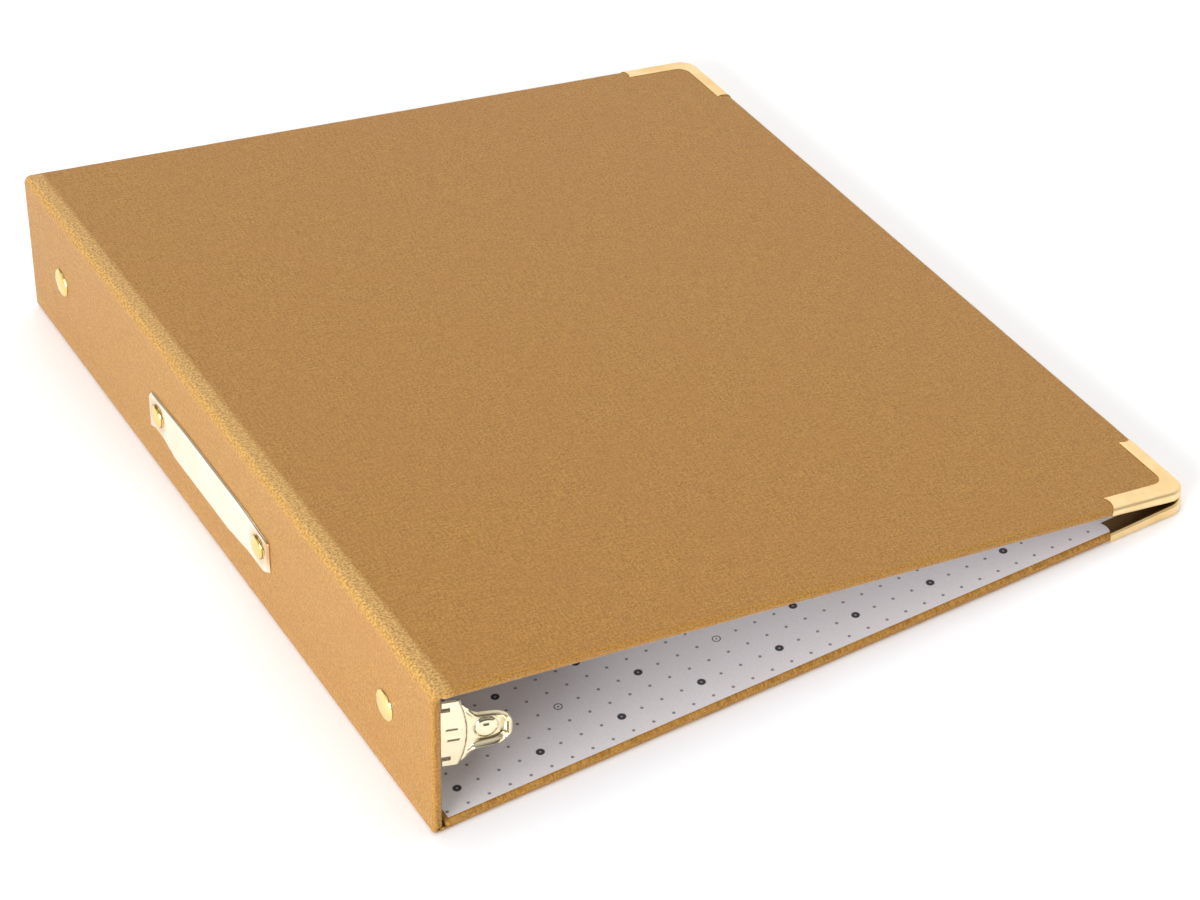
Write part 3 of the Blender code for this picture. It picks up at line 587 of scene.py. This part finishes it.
def gutter_cloth(name, along_a, along_b, hinge, lap, radius, turn, start,
                 node, lightening):
    """The strip that bends over one long edge of the spine, closed at both ends.

    along_a and along_b point away from the hinge line in the two boards' planes;
    the last argument gives how much paler the cloth is at a weave coordinate, which over the
    spine's top edge is a painted highlight.
    """
    reach = radius * math.tan(turn / 2)
    inward = (along_a + along_b).normalized()
    centre = hinge + inward * (radius / math.cos(turn / 2))
    normal_a = (hinge + along_a * reach - centre).normalized()
    normal_b = (hinge + along_b * reach - centre).normalized()
    outline = []                         # (point, outward normal, length so far)
    steps_flat, steps_arc = 5, 18
    for k in range(steps_flat):
        distance = lap + (reach - lap) * k / steps_flat
        outline.append((hinge + along_a * distance, normal_a, lap - distance))
    for k in range(steps_arc + 1):
        t = k / steps_arc
        direction = normal_a.slerp(normal_b, t)
        outline.append((centre + direction * radius, direction,
                        lap - reach + radius * turn * t))
    for k in range(1, steps_flat + 1):
        distance = reach + (lap - reach) * k / steps_flat
        outline.append((hinge + along_b * distance, normal_b,
                        lap - reach + radius * turn + distance - reach))
    total = outline[-1][2]
    steps_end = 6
    ends = []                            # (inset, outer w, inner inset, inner w, run)
    for k in range(1, steps_end + 1):
        a = math.pi / 2 * k / steps_end
        ends.append((EDGE_ROUND * (1 - math.sin(a)), EDGE_ROUND * (1 - math.cos(a)),
                     EDGE_ROUND - (EDGE_ROUND - CLOTH) * math.sin(a),
                     EDGE_ROUND - (EDGE_ROUND - CLOTH) * math.cos(a), EDGE_ROUND * a))
    flat_vs = graded(-HALF + EDGE_ROUND, HALF - EDGE_ROUND, 0.25 * MM, 3.0 * MM, 20 * MM)
    bm = bmesh.new()
    weave = bm.loops.layers.uv.new("weave")
    fold = bm.verts.layers.float.new("fold")
    places = {}

    def row_at(v, w, run, edge_paleness, hollow=0.0):
        """One row at v; w below the cloth's face, hollowed towards its middle."""
        row = []
        for point, normal, length in outline:
            s = start + length
            middle = smooth(0.0, 0.5, 0.5 - abs(length / total - 0.5))
            depth = w + (hollow * middle if hollow else sink(s, v))
            end = math.copysign(1.0, v)
            here = point - normal * depth + Vector((0, v, 0))
            vert = bm.verts.new(here)
            # paler by weave coordinate (a painted highlight over the spine's top edge) and
            # towards the strip's rounded ends
            vert[fold] = max(lightening(s), edge_paleness)
            places[vert] = (s, v + end * run)
            row.append(vert)
        return row

    def sheet_rows(inner):
        rows = []
        for side in (-1, 1):
            part = []
            for inset, w, inner_inset, inner_w, run in ends:
                edge = inner_inset if inner else inset
                part.append(row_at(side * (HALF - edge), inner_w if inner else w,
                                   run, 0.2))
            inset = CLOTH if inner else 0.0
            part.append(row_at(side * (HALF - inset), STRIP_DEPTH, STRIP_DEPTH * 1.6,
                               0.1, hollow=1.0 * MM))
            if side < 0:
                rows += list(reversed(part))
                rows += [row_at(v, CLOTH if inner else 0.0, 0.0, 0.0) for v in flat_vs]
            else:
                rows += part
        return rows

    outer, under = sheet_rows(False), sheet_rows(True)
    join_skins(bm, outer, under)
    place_weave(bm, weave, places)
    made = piece(name, bm, CLOTH_LOOK, None, node)
    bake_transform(made)


CORNER_LEG = 28.9 * MM           # length of a corner's legs
CORNER_WIDTH = 5.0 * MM          # width of its legs,
TAIL_CORNER_WIDTH = 6.0 * MM     # except along the tail edge


def end_leg_width(v):
    """Width of a corner's leg along the tail edge (v below 0) or the head edge."""
    return TAIL_CORNER_WIDTH if v < 0 else CORNER_WIDTH


def under_corner(f, p):
    """How far inside the plan of a corner's metal a point lies, 0 to 1."""
    from_fore = REACH - (p - f.origin).dot(f.u_axis)
    from_end = HALF - abs(p.y)
    in_end = min(end_leg_width(p.y) - from_end, CORNER_LEG - from_fore)
    in_fore = min(CORNER_WIDTH - from_fore, CORNER_LEG - from_end)
    return smooth(-0.4 * MM, 0.3 * MM, max(in_end, in_fore))


def pinched(f):
    """Presses the cloth in under the corner metal's two flanges."""
    def press(vert):
        share = under_corner(f, vert.co)
        if share <= 0.0:
            return
        w = (vert.co - f.origin).dot(f.w_axis)
        low, high = (0.30 * MM, 3.05 * MM) if f is BACK else (0.14 * MM, 3.05 * MM)
        target = min(max(w, low), high)
        vert.co += f.w_axis * (target - w) * share
    return press


COVER_TURN_IN = 15 * MM          # cloth turned in round a cover's other edges
SPINE_TURN_IN = 8 * MM
SPINE_TOP = SPINE_HEIGHT - 1.85 * MM     # the spine's skin stops under the ridge
SQUARE = 1.0 * MM                # rounding of a board's corners at a gutter

covered_board("cloth_front_cover", "front_cover", FRONT, FRONT_NEAR, REACH,
              (FRONT_LAP - FRONT_NEAR, 0.0), (STRIP_DEPTH, 0.0), SQUARE,
              CORNER_ROUND, COVER_TURN_IN, lambda u: u, "front_cover_cloth",
              recess=pinched(FRONT))
covered_board("cloth_back_cover", "back_cover", BACK, GUTTER, REACH,
              (BACK_LAP - GUTTER, 0.0), (STRIP_DEPTH, 0.0), SQUARE,
              CORNER_ROUND, COVER_TURN_IN, lambda u: BACK_START + BACK_LAP - u,
              "back_cover_cloth",
              recess=pinched(BACK))
covered_board("cloth_spine", "spine", SPINE, SPINE_END, SPINE_TOP,
              (BACK_LAP - SPINE_END, FRONT_LAP - (SPINE_HEIGHT - SPINE_TOP)),
              (STRIP_DEPTH, 2.0 * MM), SQUARE, SQUARE, SPINE_TURN_IN,
              lambda u: SPINE_START - (SPINE_HEIGHT - FRONT_LAP - u), "spine_cloth")
gutter_cloth("cloth_front_gutter", -SPINE_UP, FRONT_OUT,
             RIDGE, FRONT_LAP, FRONT_FOLD, FRONT_TURN, SPINE_START,
             "front_joint_cloth", ridge_highlight)
gutter_cloth("cloth_back_gutter", Vector((1, 0, 0)), SPINE_UP,
             LOWER_HINGE, BACK_LAP, BACK_FOLD, BACK_TURN, BACK_START,
             "back_joint_cloth", lambda s: 0.12)


# ---- board and papers that the cloth covers -----------------------------------
def slab(name, body, f, section, v_inset, look, node, sheet=None, ripple=0.0):
    """A flat piece swept from tail to head; section is a closed (u, w) outline."""
    bm = bmesh.new()
    vs = graded(-HALF + v_inset, HALF - v_inset, 1.0 * MM, 9.0 * MM, 30 * MM)
    rows = []
    for v in vs:
        row = []
        for u, w in section:
            wave = ripple * noise.noise(Vector((u * 17.0, v * 13.0, 2.0)))
            here = f(u, v, w + wave)
            if sheet and f is not SPINE:
                here = here - f.w_axis * 0.26 * MM * under_corner(f, here)
            row.append(bm.verts.new(here))
        rows.append(row)
    count = len(section)
    for a, b in zip(rows, rows[1:]):
        for k in range(count):
            n = (k + 1) % count
            bm.faces.new((a[k], a[n], b[n], b[k]))
    half = count // 2
    for row in (rows[0], rows[-1]):
        for k in range(half - 1):
            bm.faces.new((row[k], row[k + 1], row[count - 2 - k], row[count - 1 - k]))
    made = piece(name, bm, look, body, node)


# The spine board's top edge is planed off to sit inside the rounded fold.
BOARD_OUT, BOARD_IN = 0.8 * MM, 2.4 * MM      # its two faces
board_us = (1.75 * MM, 20 * MM, 48.0 * MM, 49.6 * MM)
slab("board_spine", "spine", SPINE,
     [(u, BOARD_OUT) for u in board_us[:3]] + [(board_us[3], 1.9 * MM)]
     + [(u, BOARD_IN) for u in reversed(board_us)], 0.8 * MM, BOARD_LOOK,
     "spine_board")


def lining(name, body, f, u0, u1, node, board):
    """A sheet of printed paper glued inside one board."""
    margin = 1.4 * MM
    low, high = THICK + 0.02 * MM, THICK + 0.14 * MM
    us = graded(u0 + margin, u1 - margin, 1.0 * MM, 9.0 * MM, 30 * MM)
    section = [(u, low) for u in us] + [(u, high) for u in reversed(us)]
    look = liner_material("dotted_paper_" + name, f)
    slab(name, body, f, section, margin, look, node,
         dict(flat=(us[-1] - us[0], 2 * (HALF - margin)), held="laid",
              rests_on=[board]), ripple=0.015 * MM)


lining("lining_back_cover", "back_cover", BACK, GUTTER, REACH, "back_cover_liner",
       "back_cover_board")
lining("lining_spine", "spine", SPINE, SPINE_END, SPINE_TOP - 0.3 * MM, "spine_liner",
       "spine_board")
lining("lining_front_cover", "front_cover", FRONT, GUTTER, REACH, "front_cover_liner",
       "front_cover_board")


# ---- sheet-metal pieces ---------------------------------------------------------
def metal_grid(outer, inner, shade):
    """Closes two matching grids of points into one sheet-metal skin.

    shade(i, j, side) gives the painted shade of a point; side is 0 outside, 1 inside.
    """
    bm = bmesh.new()
    layer = bm.verts.layers.float.new("painted_shade")
    skins = []
    for side, grid in enumerate((outer, inner)):
        skin = [[bm.verts.new(p) for p in row] for row in grid]
        for i, row in enumerate(skin):
            for j, vert in enumerate(row):
                vert[layer] = shade(i, j, side)
        skins.append(skin)
    join_skins(bm, *skins)
    return bm


CORNER_SHEET = 0.20 * MM
CORNER_OUT = 0.26 * MM           # metal beyond the cloth's edge
CORNER_PLAN_ROUND = 6.2 * MM
CORNER_NOOK_ROUND = 4.0 * MM
CORNER_TIP_DEPTH = 3.95 * MM     # to the inner flange, at the tip
CORNER_LEG_DEPTH = 3.35 * MM     # and at the ends of the legs


def corner_piece(name, body, f, end, face_w, bend, node):
    """Folded channel over a cover's fore corner, pinched thinner along its legs.

    end is -1 at the tail and 1 at the head; face_w is the depth of its outer face.
    """
    end_width, fore_width = end_leg_width(end), CORNER_WIDTH

    def plan(t, d, q):
        """t from 0, tail or head leg's end, to 3; d in from the rim, q its share."""
        ramp = CORNER_LEG + 0.8 * MM * (1 - q) - 0.95 * MM * math.sin(math.pi * q)
        if t <= 1.0:
            start = (CORNER_PLAN_ROUND - CORNER_OUT
                     + (fore_width + CORNER_NOOK_ROUND - CORNER_PLAN_ROUND
                        + CORNER_OUT) * q)
            return ramp + (start - ramp) * t, d - CORNER_OUT
        if t >= 2.0:
            start = (CORNER_PLAN_ROUND - CORNER_OUT
                     + (end_width + CORNER_NOOK_ROUND - CORNER_PLAN_ROUND
                        + CORNER_OUT) * q)
            return d - CORNER_OUT, start + (ramp - start) * (t - 2.0)
        a = math.pi / 2 * (t - 1.0)
        outer_a = -CORNER_OUT + d + (CORNER_PLAN_ROUND - d) * (1 - math.sin(a))
        outer_b = -CORNER_OUT + d + (CORNER_PLAN_ROUND - d) * (1 - math.cos(a))
        rim_a = -CORNER_OUT + CORNER_PLAN_ROUND * (1 - math.sin(a))
        rim_b = -CORNER_OUT + CORNER_PLAN_ROUND * (1 - math.cos(a))
        nook_a = fore_width + CORNER_NOOK_ROUND * (1 - math.sin(a))
        nook_b = end_width + CORNER_NOOK_ROUND * (1 - math.cos(a))
        near = 1 - smooth(0.25, 0.5, q)
        return (near * outer_a + (1 - near) * (rim_a + (nook_a - rim_a) * q),
                near * outer_b + (1 - near) * (rim_b + (nook_b - rim_b) * q))

    def section(t, inset):
        """(d, q, w) down the outer skin, or the inner one at a given inset."""
        width = end_width if t <= 1.0 else fore_width if t >= 2.0 else \
            end_width + (fore_width - end_width) * (t - 1.0)
        width += CORNER_OUT
        toward_tip = 1 - min(abs(t - 1.5) / 1.5, 1.0)
        low = CORNER_LEG_DEPTH + (CORNER_TIP_DEPTH - CORNER_LEG_DEPTH) \
            * smooth(0.0, 0.75, toward_tip)
        radius = min(bend, (low - face_w) * 0.45)
        inner_radius = max(radius - inset, 0.06 * MM)
        top, bottom = face_w + inset, low - inset
        out = []
        for k in range(9):
            d = width - (width - radius) * k / 9
            groove = 0.04 * MM * math.exp(-((d - 2.4 * MM) / (0.30 * MM)) ** 2)
            lip = 0.10 * MM * max(1 - (width - d) / (0.5 * MM), 0.0)
            out.append((d, top + groove + lip))
        for k in range(8):
            a = math.pi / 2 * k / 7
            out.append((inset + inner_radius * (1 - math.sin(a)),
                        top + inner_radius * (1 - math.cos(a))))
        for k in range(8):
            a = math.pi / 2 * (1 - k / 7)
            out.append((inset + inner_radius * (1 - math.sin(a)),
                        bottom - inner_radius * (1 - math.cos(a))))
        for k in range(1, 6):
            out.append((radius + (width - radius) * k / 5, bottom))
        return [(d, min(d / width, 1.0), w) for d, w in out]

    grids = []
    for inset in (0.0, CORNER_SHEET):
        grid = []
        for t in stations((0.0, 3.0), (48,)):
            row = []
            for d, q, w in section(t, inset):
                a, b = plan(t, d, q)
                row.append(f(REACH - a, end * (HALF - b), w))
            grid.append(row)
        grids.append(grid)
    count = len(grids[0][0])

    # painted shade: the inner skin and the lower flange are darkened for the shade and dark
    # reflections between the flanges
    def shade(i, j, side):
        flange = smooth(count - 8, count - 6, j)
        return max(0.88 * side, 0.80 * flange)

    piece(name, metal_grid(*grids, shade), CORNER_LOOK, body, node, 40.0)


for end, sign in (("tail", -1), ("head", 1)):
    corner_piece("metal_front_corner_" + end, "front_cover", FRONT, sign, -0.14 * MM,
                 1.3 * MM, "front_corner_" + end)
    corner_piece("metal_back_corner_" + end, "back_cover", BACK, sign, 0.0, 0.8 * MM,
                 "back_corner_" + end)


PLATE_RIVETS = {"tail": (-37.4, 24.8), "head": (37.9, 24.3)}    # (y, height) in mm


def from_plate_rivet(y, z):
    return min(math.hypot(y - at_y, z - at_z) for at_y, at_z in PLATE_RIVETS.values())


def plate_edges(y):
    """Lower and upper edge of the name plate at a place along the spine (mm).

    Its ends are narrower than its middle, and its corners are cut away.
    """
    high = 31.5 - 1.0 * smooth(18, 44, abs(y + 4)) - 0.4 * smooth(-25, -44, y)
    low = 15.0 + 0.9 * smooth(26.6, 28.6, y) + 1.5 * smooth(28.6, 36.0, y) \
        - 1.4 * smooth(40.0, 45.4, y)
    low += 0.5 * (1 - smooth(-17.4, -15.6, y)) + 1.3 * (1 - smooth(-31.0, -17.4, y))
    low += 2.6 * max((-39.5 - y) / 4.7, 0.0) ** 1.5
    high -= 3.0 * max((y - 42.2) / 3.3, 0.0) ** 1.7
    return low, high


def name_plate():
    """Thin polished plate with eased edges, slightly dished between its rivets."""
    ys = graded(-44.2 * MM, 45.4 * MM, 0.3 * MM, 1.2 * MM, 8 * MM)
    across = graded(0.0, 1.0, 0.02, 0.07, 0.25)
    outer, inner = [], []
    for y in ys:
        low, high = plate_edges(y / MM)
        from_end = min(y - ys[0], ys[-1] - y)
        front, back = [], []
        for q in across:
            z = (low + (high - low) * q) * MM
            from_edge = min(min(q, 1 - q) * (high - low) * MM, from_end)
            ease = 1 - min(from_edge / (0.9 * MM), 1.0)
            rise = 0.70 * MM - 0.40 * MM * ease ** 2
            near = from_plate_rivet(y / MM, z / MM)
            rise += 0.10 * MM * math.exp(-(near / 6.0) ** 2)
            rise += 0.02 * MM * noise.noise(Vector((y * 60, z * 90, 4.0)))
            front.append(SPINE(z, y, -0.1 * MM - rise))
            back.append(SPINE(z, y, -0.1 * MM))
        outer.append(front)
        inner.append(back)

    # painted dark reflections round the rivets and towards the plate's ends
    def shade(i, j, side):
        y = ys[i] / MM
        low, high = plate_edges(y)
        z = low + (high - low) * across[j]
        halo = 1 - smooth(3.6, 7.5, from_plate_rivet(y, z))
        tail_end = 1 - smooth(-44.5, -38.0, y)
        head_end = smooth(39.0, 44.0, y) * 0.5
        return max(0.55 * halo, 0.75 * tail_end * smooth(17, 26, z), 0.5 * head_end)

    piece("metal_name_plate", metal_grid(outer, inner, shade), PLATE_LOOK, "spine",
          "spine_name_plate", 60.0)


def plate_rivet(end, foot, radius, dome):
    """Domed rivet head with a fine groove round its rim, on a short shank."""
    y, z = (place * MM for place in PLATE_RIVETS[end])
    profile = [(0.0, -dome)]
    for k in range(1, 11):
        a = math.radians(84.0 * k / 10)
        profile.append((0.93 * radius * math.sin(a), -dome * math.cos(a)))
    profile += [(0.94 * radius, 0.02 * MM), (0.97 * radius, -0.10 * MM),
                (radius, -0.02 * MM), (radius, 0.10 * MM), (1.0 * MM, 0.12 * MM),
                (1.0 * MM, 2.6 * MM), (0.0, 2.6 * MM)]
    bm = bmesh.new()
    layer = bm.verts.layers.float.new("painted_shade")
    around = 48
    rings = []
    for r, w in profile:
        if r == 0.0:
            rings.append([bm.verts.new(SPINE(z, y, foot + w))])
            continue
        ring = []
        for k in range(around):
            a = 2 * math.pi * k / around
            ring.append(bm.verts.new(SPINE(z + r * math.sin(a), y + r * math.cos(a),
                                           foot + w)))
        rings.append(ring)
    # painted shade in the groove round the rivet's rim
    for number, ring in enumerate(rings):
        for vert in ring:
            vert[layer] = 0.9 if 10 <= number <= 11 else 0.35 if number == 9 else 0.0
    for low, high in zip(rings, rings[1:]):
        for k in range(around):
            n = (k + 1) % around
            if len(low) == 1:
                bm.faces.new((low[0], high[k], high[n]))
            elif len(high) == 1:
                bm.faces.new((low[k], high[0], low[n]))
            else:
                bm.faces.new((low[k], high[k], high[n], low[n]))
    piece("metal_plate_rivet_" + end, bm, RIVET_LOOK, "spine", "name_plate_rivet_" + end,
          35.0)


name_plate()
for end in PLATE_RIVETS:
    plate_rivet(end, -0.98 * MM, 4.1 * MM, 1.3 * MM)


# ---- opening levers ---------------------------------------------------------------
LEVER_X, LEVER_Y, LEVER_Z = 6.1 * MM, 136.5 * MM, 26.3 * MM
LEVER_TILT = math.radians(15.5)
LEVER_CURL = 1.65 * MM
LEVER_SHEET = 0.9 * MM
LEVER_REACH = 22.6               # mm from the pin to the tab's tip
LEVER_HALF_WIDTH = 11.6          # mm
NOTCH_NEAR, NOTCH_FAR = 8.2, 9.75        # mm from the middle, a notch in each side


def lever_half(s):
    """Half width (mm) of the lever at s mm from its pin."""
    if s <= 7.4:
        return LEVER_HALF_WIDTH
    if s <= 13.0:
        t = (s - 7.4) / 5.6
        return 6.4 + 5.2 * (1 - t) ** 2.1 * (1 + 0.6 * t)
    if s <= 16.3:
        return 6.4 - 0.25 * (s - 13.0) / 3.3
    t = min((s - 16.3) / (LEVER_REACH - 16.3), 1.0)
    return 6.15 * math.sqrt(max(1 - t ** 2.05, 0.004))


def lever_shape(s, z):
    """(outward relief in mm, painted shade) at a place on the lever."""
    spread = abs(z) / lever_half(s)
    crease_at = 9.7 - 2.3 * (z / LEVER_HALF_WIDTH) ** 2
    crease = math.exp(-((s - crease_at) / 0.30) ** 2)
    ribs = 0.0
    for rib in (1.55, 2.15, -1.65, -2.35):
        ribs = max(ribs, math.exp(-((z - rib) / 0.20) ** 2)
                   * smooth(3.2, 3.8, s) * (1 - smooth(crease_at - 1.9, crease_at - 1.3, s)))
    past = smooth(crease_at, crease_at + 1.2, s)
    edge = (1 - spread) * lever_half(s)
    tip = LEVER_REACH - s
    from_rim = min(edge, tip * 0.9)
    roll = past * smooth(8.6, 12.5, s)
    rim = math.exp(-((from_rim - 0.75) / 0.62) ** 2) * roll
    moat = math.exp(-((from_rim - 2.35) / 0.75) ** 2) * roll * smooth(11.0, 14.0, s)
    from_boss = math.hypot(s - 15.2, z - 0.5)
    boss = 1 - smooth(2.5, 3.3, from_boss)
    ring = math.exp(-((from_boss - 3.5) / 0.30) ** 2)
    key = math.exp(-(max(abs(s - 15.2) - 0.75, 0.0) / 0.28) ** 2
                   - ((z - 1.7) / 0.42) ** 2)
    relief = (-0.30 * crease + 0.22 * ribs + 1.15 * rim - 0.35 * moat + 0.45 * boss
              - 0.12 * ring - 0.55 * key - 0.03 * past * (s - 8.0))
    # painted shade in the crease, keyhole, ring and moat, deeper on the lower side
    below = smooth(0.0, 2.5, -z)
    dark = max(0.85 * crease, 0.95 * key, 0.50 * ring, moat * (0.25 + 0.75 * below))
    return relief, dark


def opening_lever(end, sign):
    """Pressed sheet lever curled round its pin, with a rolled thumb tab."""
    along = SPINE_IN * math.cos(LEVER_TILT) + Vector((0, sign * math.sin(LEVER_TILT), 0))
    outward = -SPINE_IN * math.sin(LEVER_TILT) + Vector((0, sign * math.cos(LEVER_TILT), 0))
    origin = LOWER_HINGE + SPINE_IN * LEVER_X + SPINE_UP * LEVER_Z \
        + Vector((0, sign * LEVER_Y, 0))
    curls = [math.radians(235.0 * (1 - k / 16)) for k in range(16)]
    flats = graded(0.0, LEVER_REACH, 0.30, 0.30, 1.0)
    half_rows = stations((0.0, 3.0, 3.8, 4.8, 7.2, NOTCH_NEAR, NOTCH_FAR),
                         (10, 2, 2, 4, 2, 3))
    last = LEVER_HALF_WIDTH - NOTCH_FAR      # closer and closer up to the rim
    half_rows += [LEVER_HALF_WIDTH - last * (1 - k / 7) ** 1.8 for k in range(1, 8)]
    units = [-z for z in reversed(half_rows[1:])] + half_rows
    rows = [("curl", a) for a in curls] + [("flat", s) for s in flats]

    def middle(row, unit):
        """The middle surface; unit is the place across, as if at full width."""
        kind, value = row
        if kind == "curl":
            return origin + (outward * math.cos(value) - along * math.sin(value)) \
                * LEVER_CURL + SPINE_UP * unit * MM
        z = unit / LEVER_HALF_WIDTH * lever_half(value)
        return origin + outward * (LEVER_CURL + lever_shape(value, z)[0] * MM) \
            + along * value * MM + SPINE_UP * z * MM

    grid = [[middle(row, unit) for unit in units] for row in rows]
    last_row, last_column = len(rows) - 1, len(units) - 1
    bm = bmesh.new()
    layer = bm.verts.layers.float.new("painted_shade")
    made = {}

    def vert(side, i, j):
        """The sheet's point on one side of its middle surface."""
        if (side, i, j) in made:
            return made[side, i, j]
        down = grid[min(i + 1, last_row)][j] - grid[max(i - 1, 0)][j]
        across = grid[i][min(j + 1, last_column)] - grid[i][max(j - 1, 0)]
        normal = down.cross(across).normalized()
        new = bm.verts.new(grid[i][j] + normal * side * LEVER_SHEET / 2)
        kind, value = rows[i]
        if kind == "flat":
            z = units[j] / LEVER_HALF_WIDTH * lever_half(value)
            new[layer] = lever_shape(value, z)[1]
        made[side, i, j] = new
        return new

    def active(i, j):
        """Whether the sheet has metal in this cell of the grid."""
        if not (0 <= i < last_row and 0 <= j < last_column):
            return False
        z = abs(units[j] + units[j + 1]) / 2
        kind, value = rows[i]
        if z < NOTCH_NEAR:
            return True
        if kind == "curl":
            return False
        return value > (5.0 if z < NOTCH_FAR else 2.6)

    for i in range(last_row):
        for j in range(last_column):
            if not active(i, j):
                continue
            keys = [(i, j), (i, j + 1), (i + 1, j + 1), (i + 1, j)]
            bm.faces.new([vert(1, *k) for k in keys])
            bm.faces.new([vert(-1, *k) for k in reversed(keys)])
            for a, b, neighbour in (((i, j), (i, j + 1), (i - 1, j)),
                                    ((i, j + 1), (i + 1, j + 1), (i, j + 1)),
                                    ((i + 1, j + 1), (i + 1, j), (i + 1, j)),
                                    ((i + 1, j), (i, j), (i, j - 1))):
                if not active(*neighbour):
                    bm.faces.new([vert(1, *b), vert(1, *a), vert(-1, *a), vert(-1, *b)])
    piece("metal_lever_" + end, bm, LEVER_LOOK, "lever_" + end, "opening_lever_" + end,
          45.0)


for end, sign in (("tail", -1), ("head", 1)):
    opening_lever(end, sign)


# ---- studio -----------------------------------------------------------------
def look_from(location, target):
    return (Vector(target) - Vector(location)).to_track_quat("-Z", "Y")


def soft_light(name, location, target, size, power, colour=(1.0, 1.0, 1.0)):
    """Rectangular area light aimed at a point."""
    data = bpy.data.lights.new(name, "AREA")
    data.shape = "RECTANGLE"
    data.size, data.size_y = size
    data.energy = power
    data.color = colour
    made = bpy.data.objects.new(name, data)
    made.location = location
    made.rotation_mode = "QUATERNION"
    made.rotation_quaternion = look_from(location, target)
    bpy.context.scene.collection.objects.link(made)


FLOOR_HALF = 4.0
FLOOR_Z = -0.3 * MM
floor_mesh = bpy.data.meshes.new("studio_floor")
floor_corners = [(x * FLOOR_HALF, y * FLOOR_HALF, FLOOR_Z)
                 for x, y in ((-1, -1), (1, -1), (1, 1), (-1, 1))]
floor_mesh.from_pydata(floor_corners, [], [(0, 1, 2, 3)])
floor = bpy.data.objects.new("studio_floor", floor_mesh)
bpy.context.scene.collection.objects.link(floor)
floor_look = material_nodes("studio_white")
floor_mesh.materials.append(floor_look.set(
    Base_Color=(0.97, 0.97, 0.97, 1), Roughness=0.9,
    Emission_Color=(1, 1, 1, 1), Emission_Strength=0.05))

world = bpy.data.worlds.new("studio_world")
bpy.context.scene.world = world
sky = Nodes(world)
background = sky.tree.nodes["Background"]
direction = sky.add("ShaderNodeTexCoord").outputs["Generated"]
# Brightest behind and above the head end, dark in front of the tail end, with a
# dark card high up behind the spine for the metal to reflect.
BRIGHT_SIDE = (0.30, 0.85, 0.45)
DARK_CARD = (-0.47, 0.74, 0.48)
brightness = sky.remap(sky.vector("DOT_PRODUCT", direction, BRIGHT_SIDE),
                       -0.55, 0.45, 0.14, 1.02)
dimming = sky.remap(sky.vector("DOT_PRODUCT", direction, DARK_CARD),
                    0.82, 0.94, 1.0, 0.30)
sky.link(sky.times(brightness, dimming), background.inputs["Strength"])
background.inputs["Color"].default_value = (1.0, 0.99, 0.98, 1.0)

soft_light("key_left", (-1.65, -0.80, 0.55), (-0.1, -0.14, 0.02), (1.2, 0.9), 38.0,
           (0.98, 1.0, 1.06))
soft_light("top_soft", (0.3, 0.5, 1.9), (0.0, 0.0, 0.0), (1.6, 1.6), 10.0)

camera_data = bpy.data.cameras.new("camera")
camera_data.sensor_width = 36.0
camera_data.lens = 92.4864
camera_data.clip_start, camera_data.clip_end = 0.05, 20.0
camera = bpy.data.objects.new("camera", camera_data)
bpy.context.scene.collection.objects.link(camera)
right = Vector((0.86705743, -0.49662603, -0.03967364)).normalized()
ahead = Vector((0.36490946, 0.68727005, -0.62809311)).normalized()
up = right.cross(ahead)
turn = Matrix((right, up, -ahead)).transposed()
camera.matrix_world = Matrix.Translation((-0.36860777, -0.70585966, 0.62167435)) \
    @ turn.to_4x4()
bpy.context.scene.camera = camera
bpy.context.scene.view_settings.view_transform = "Standard"
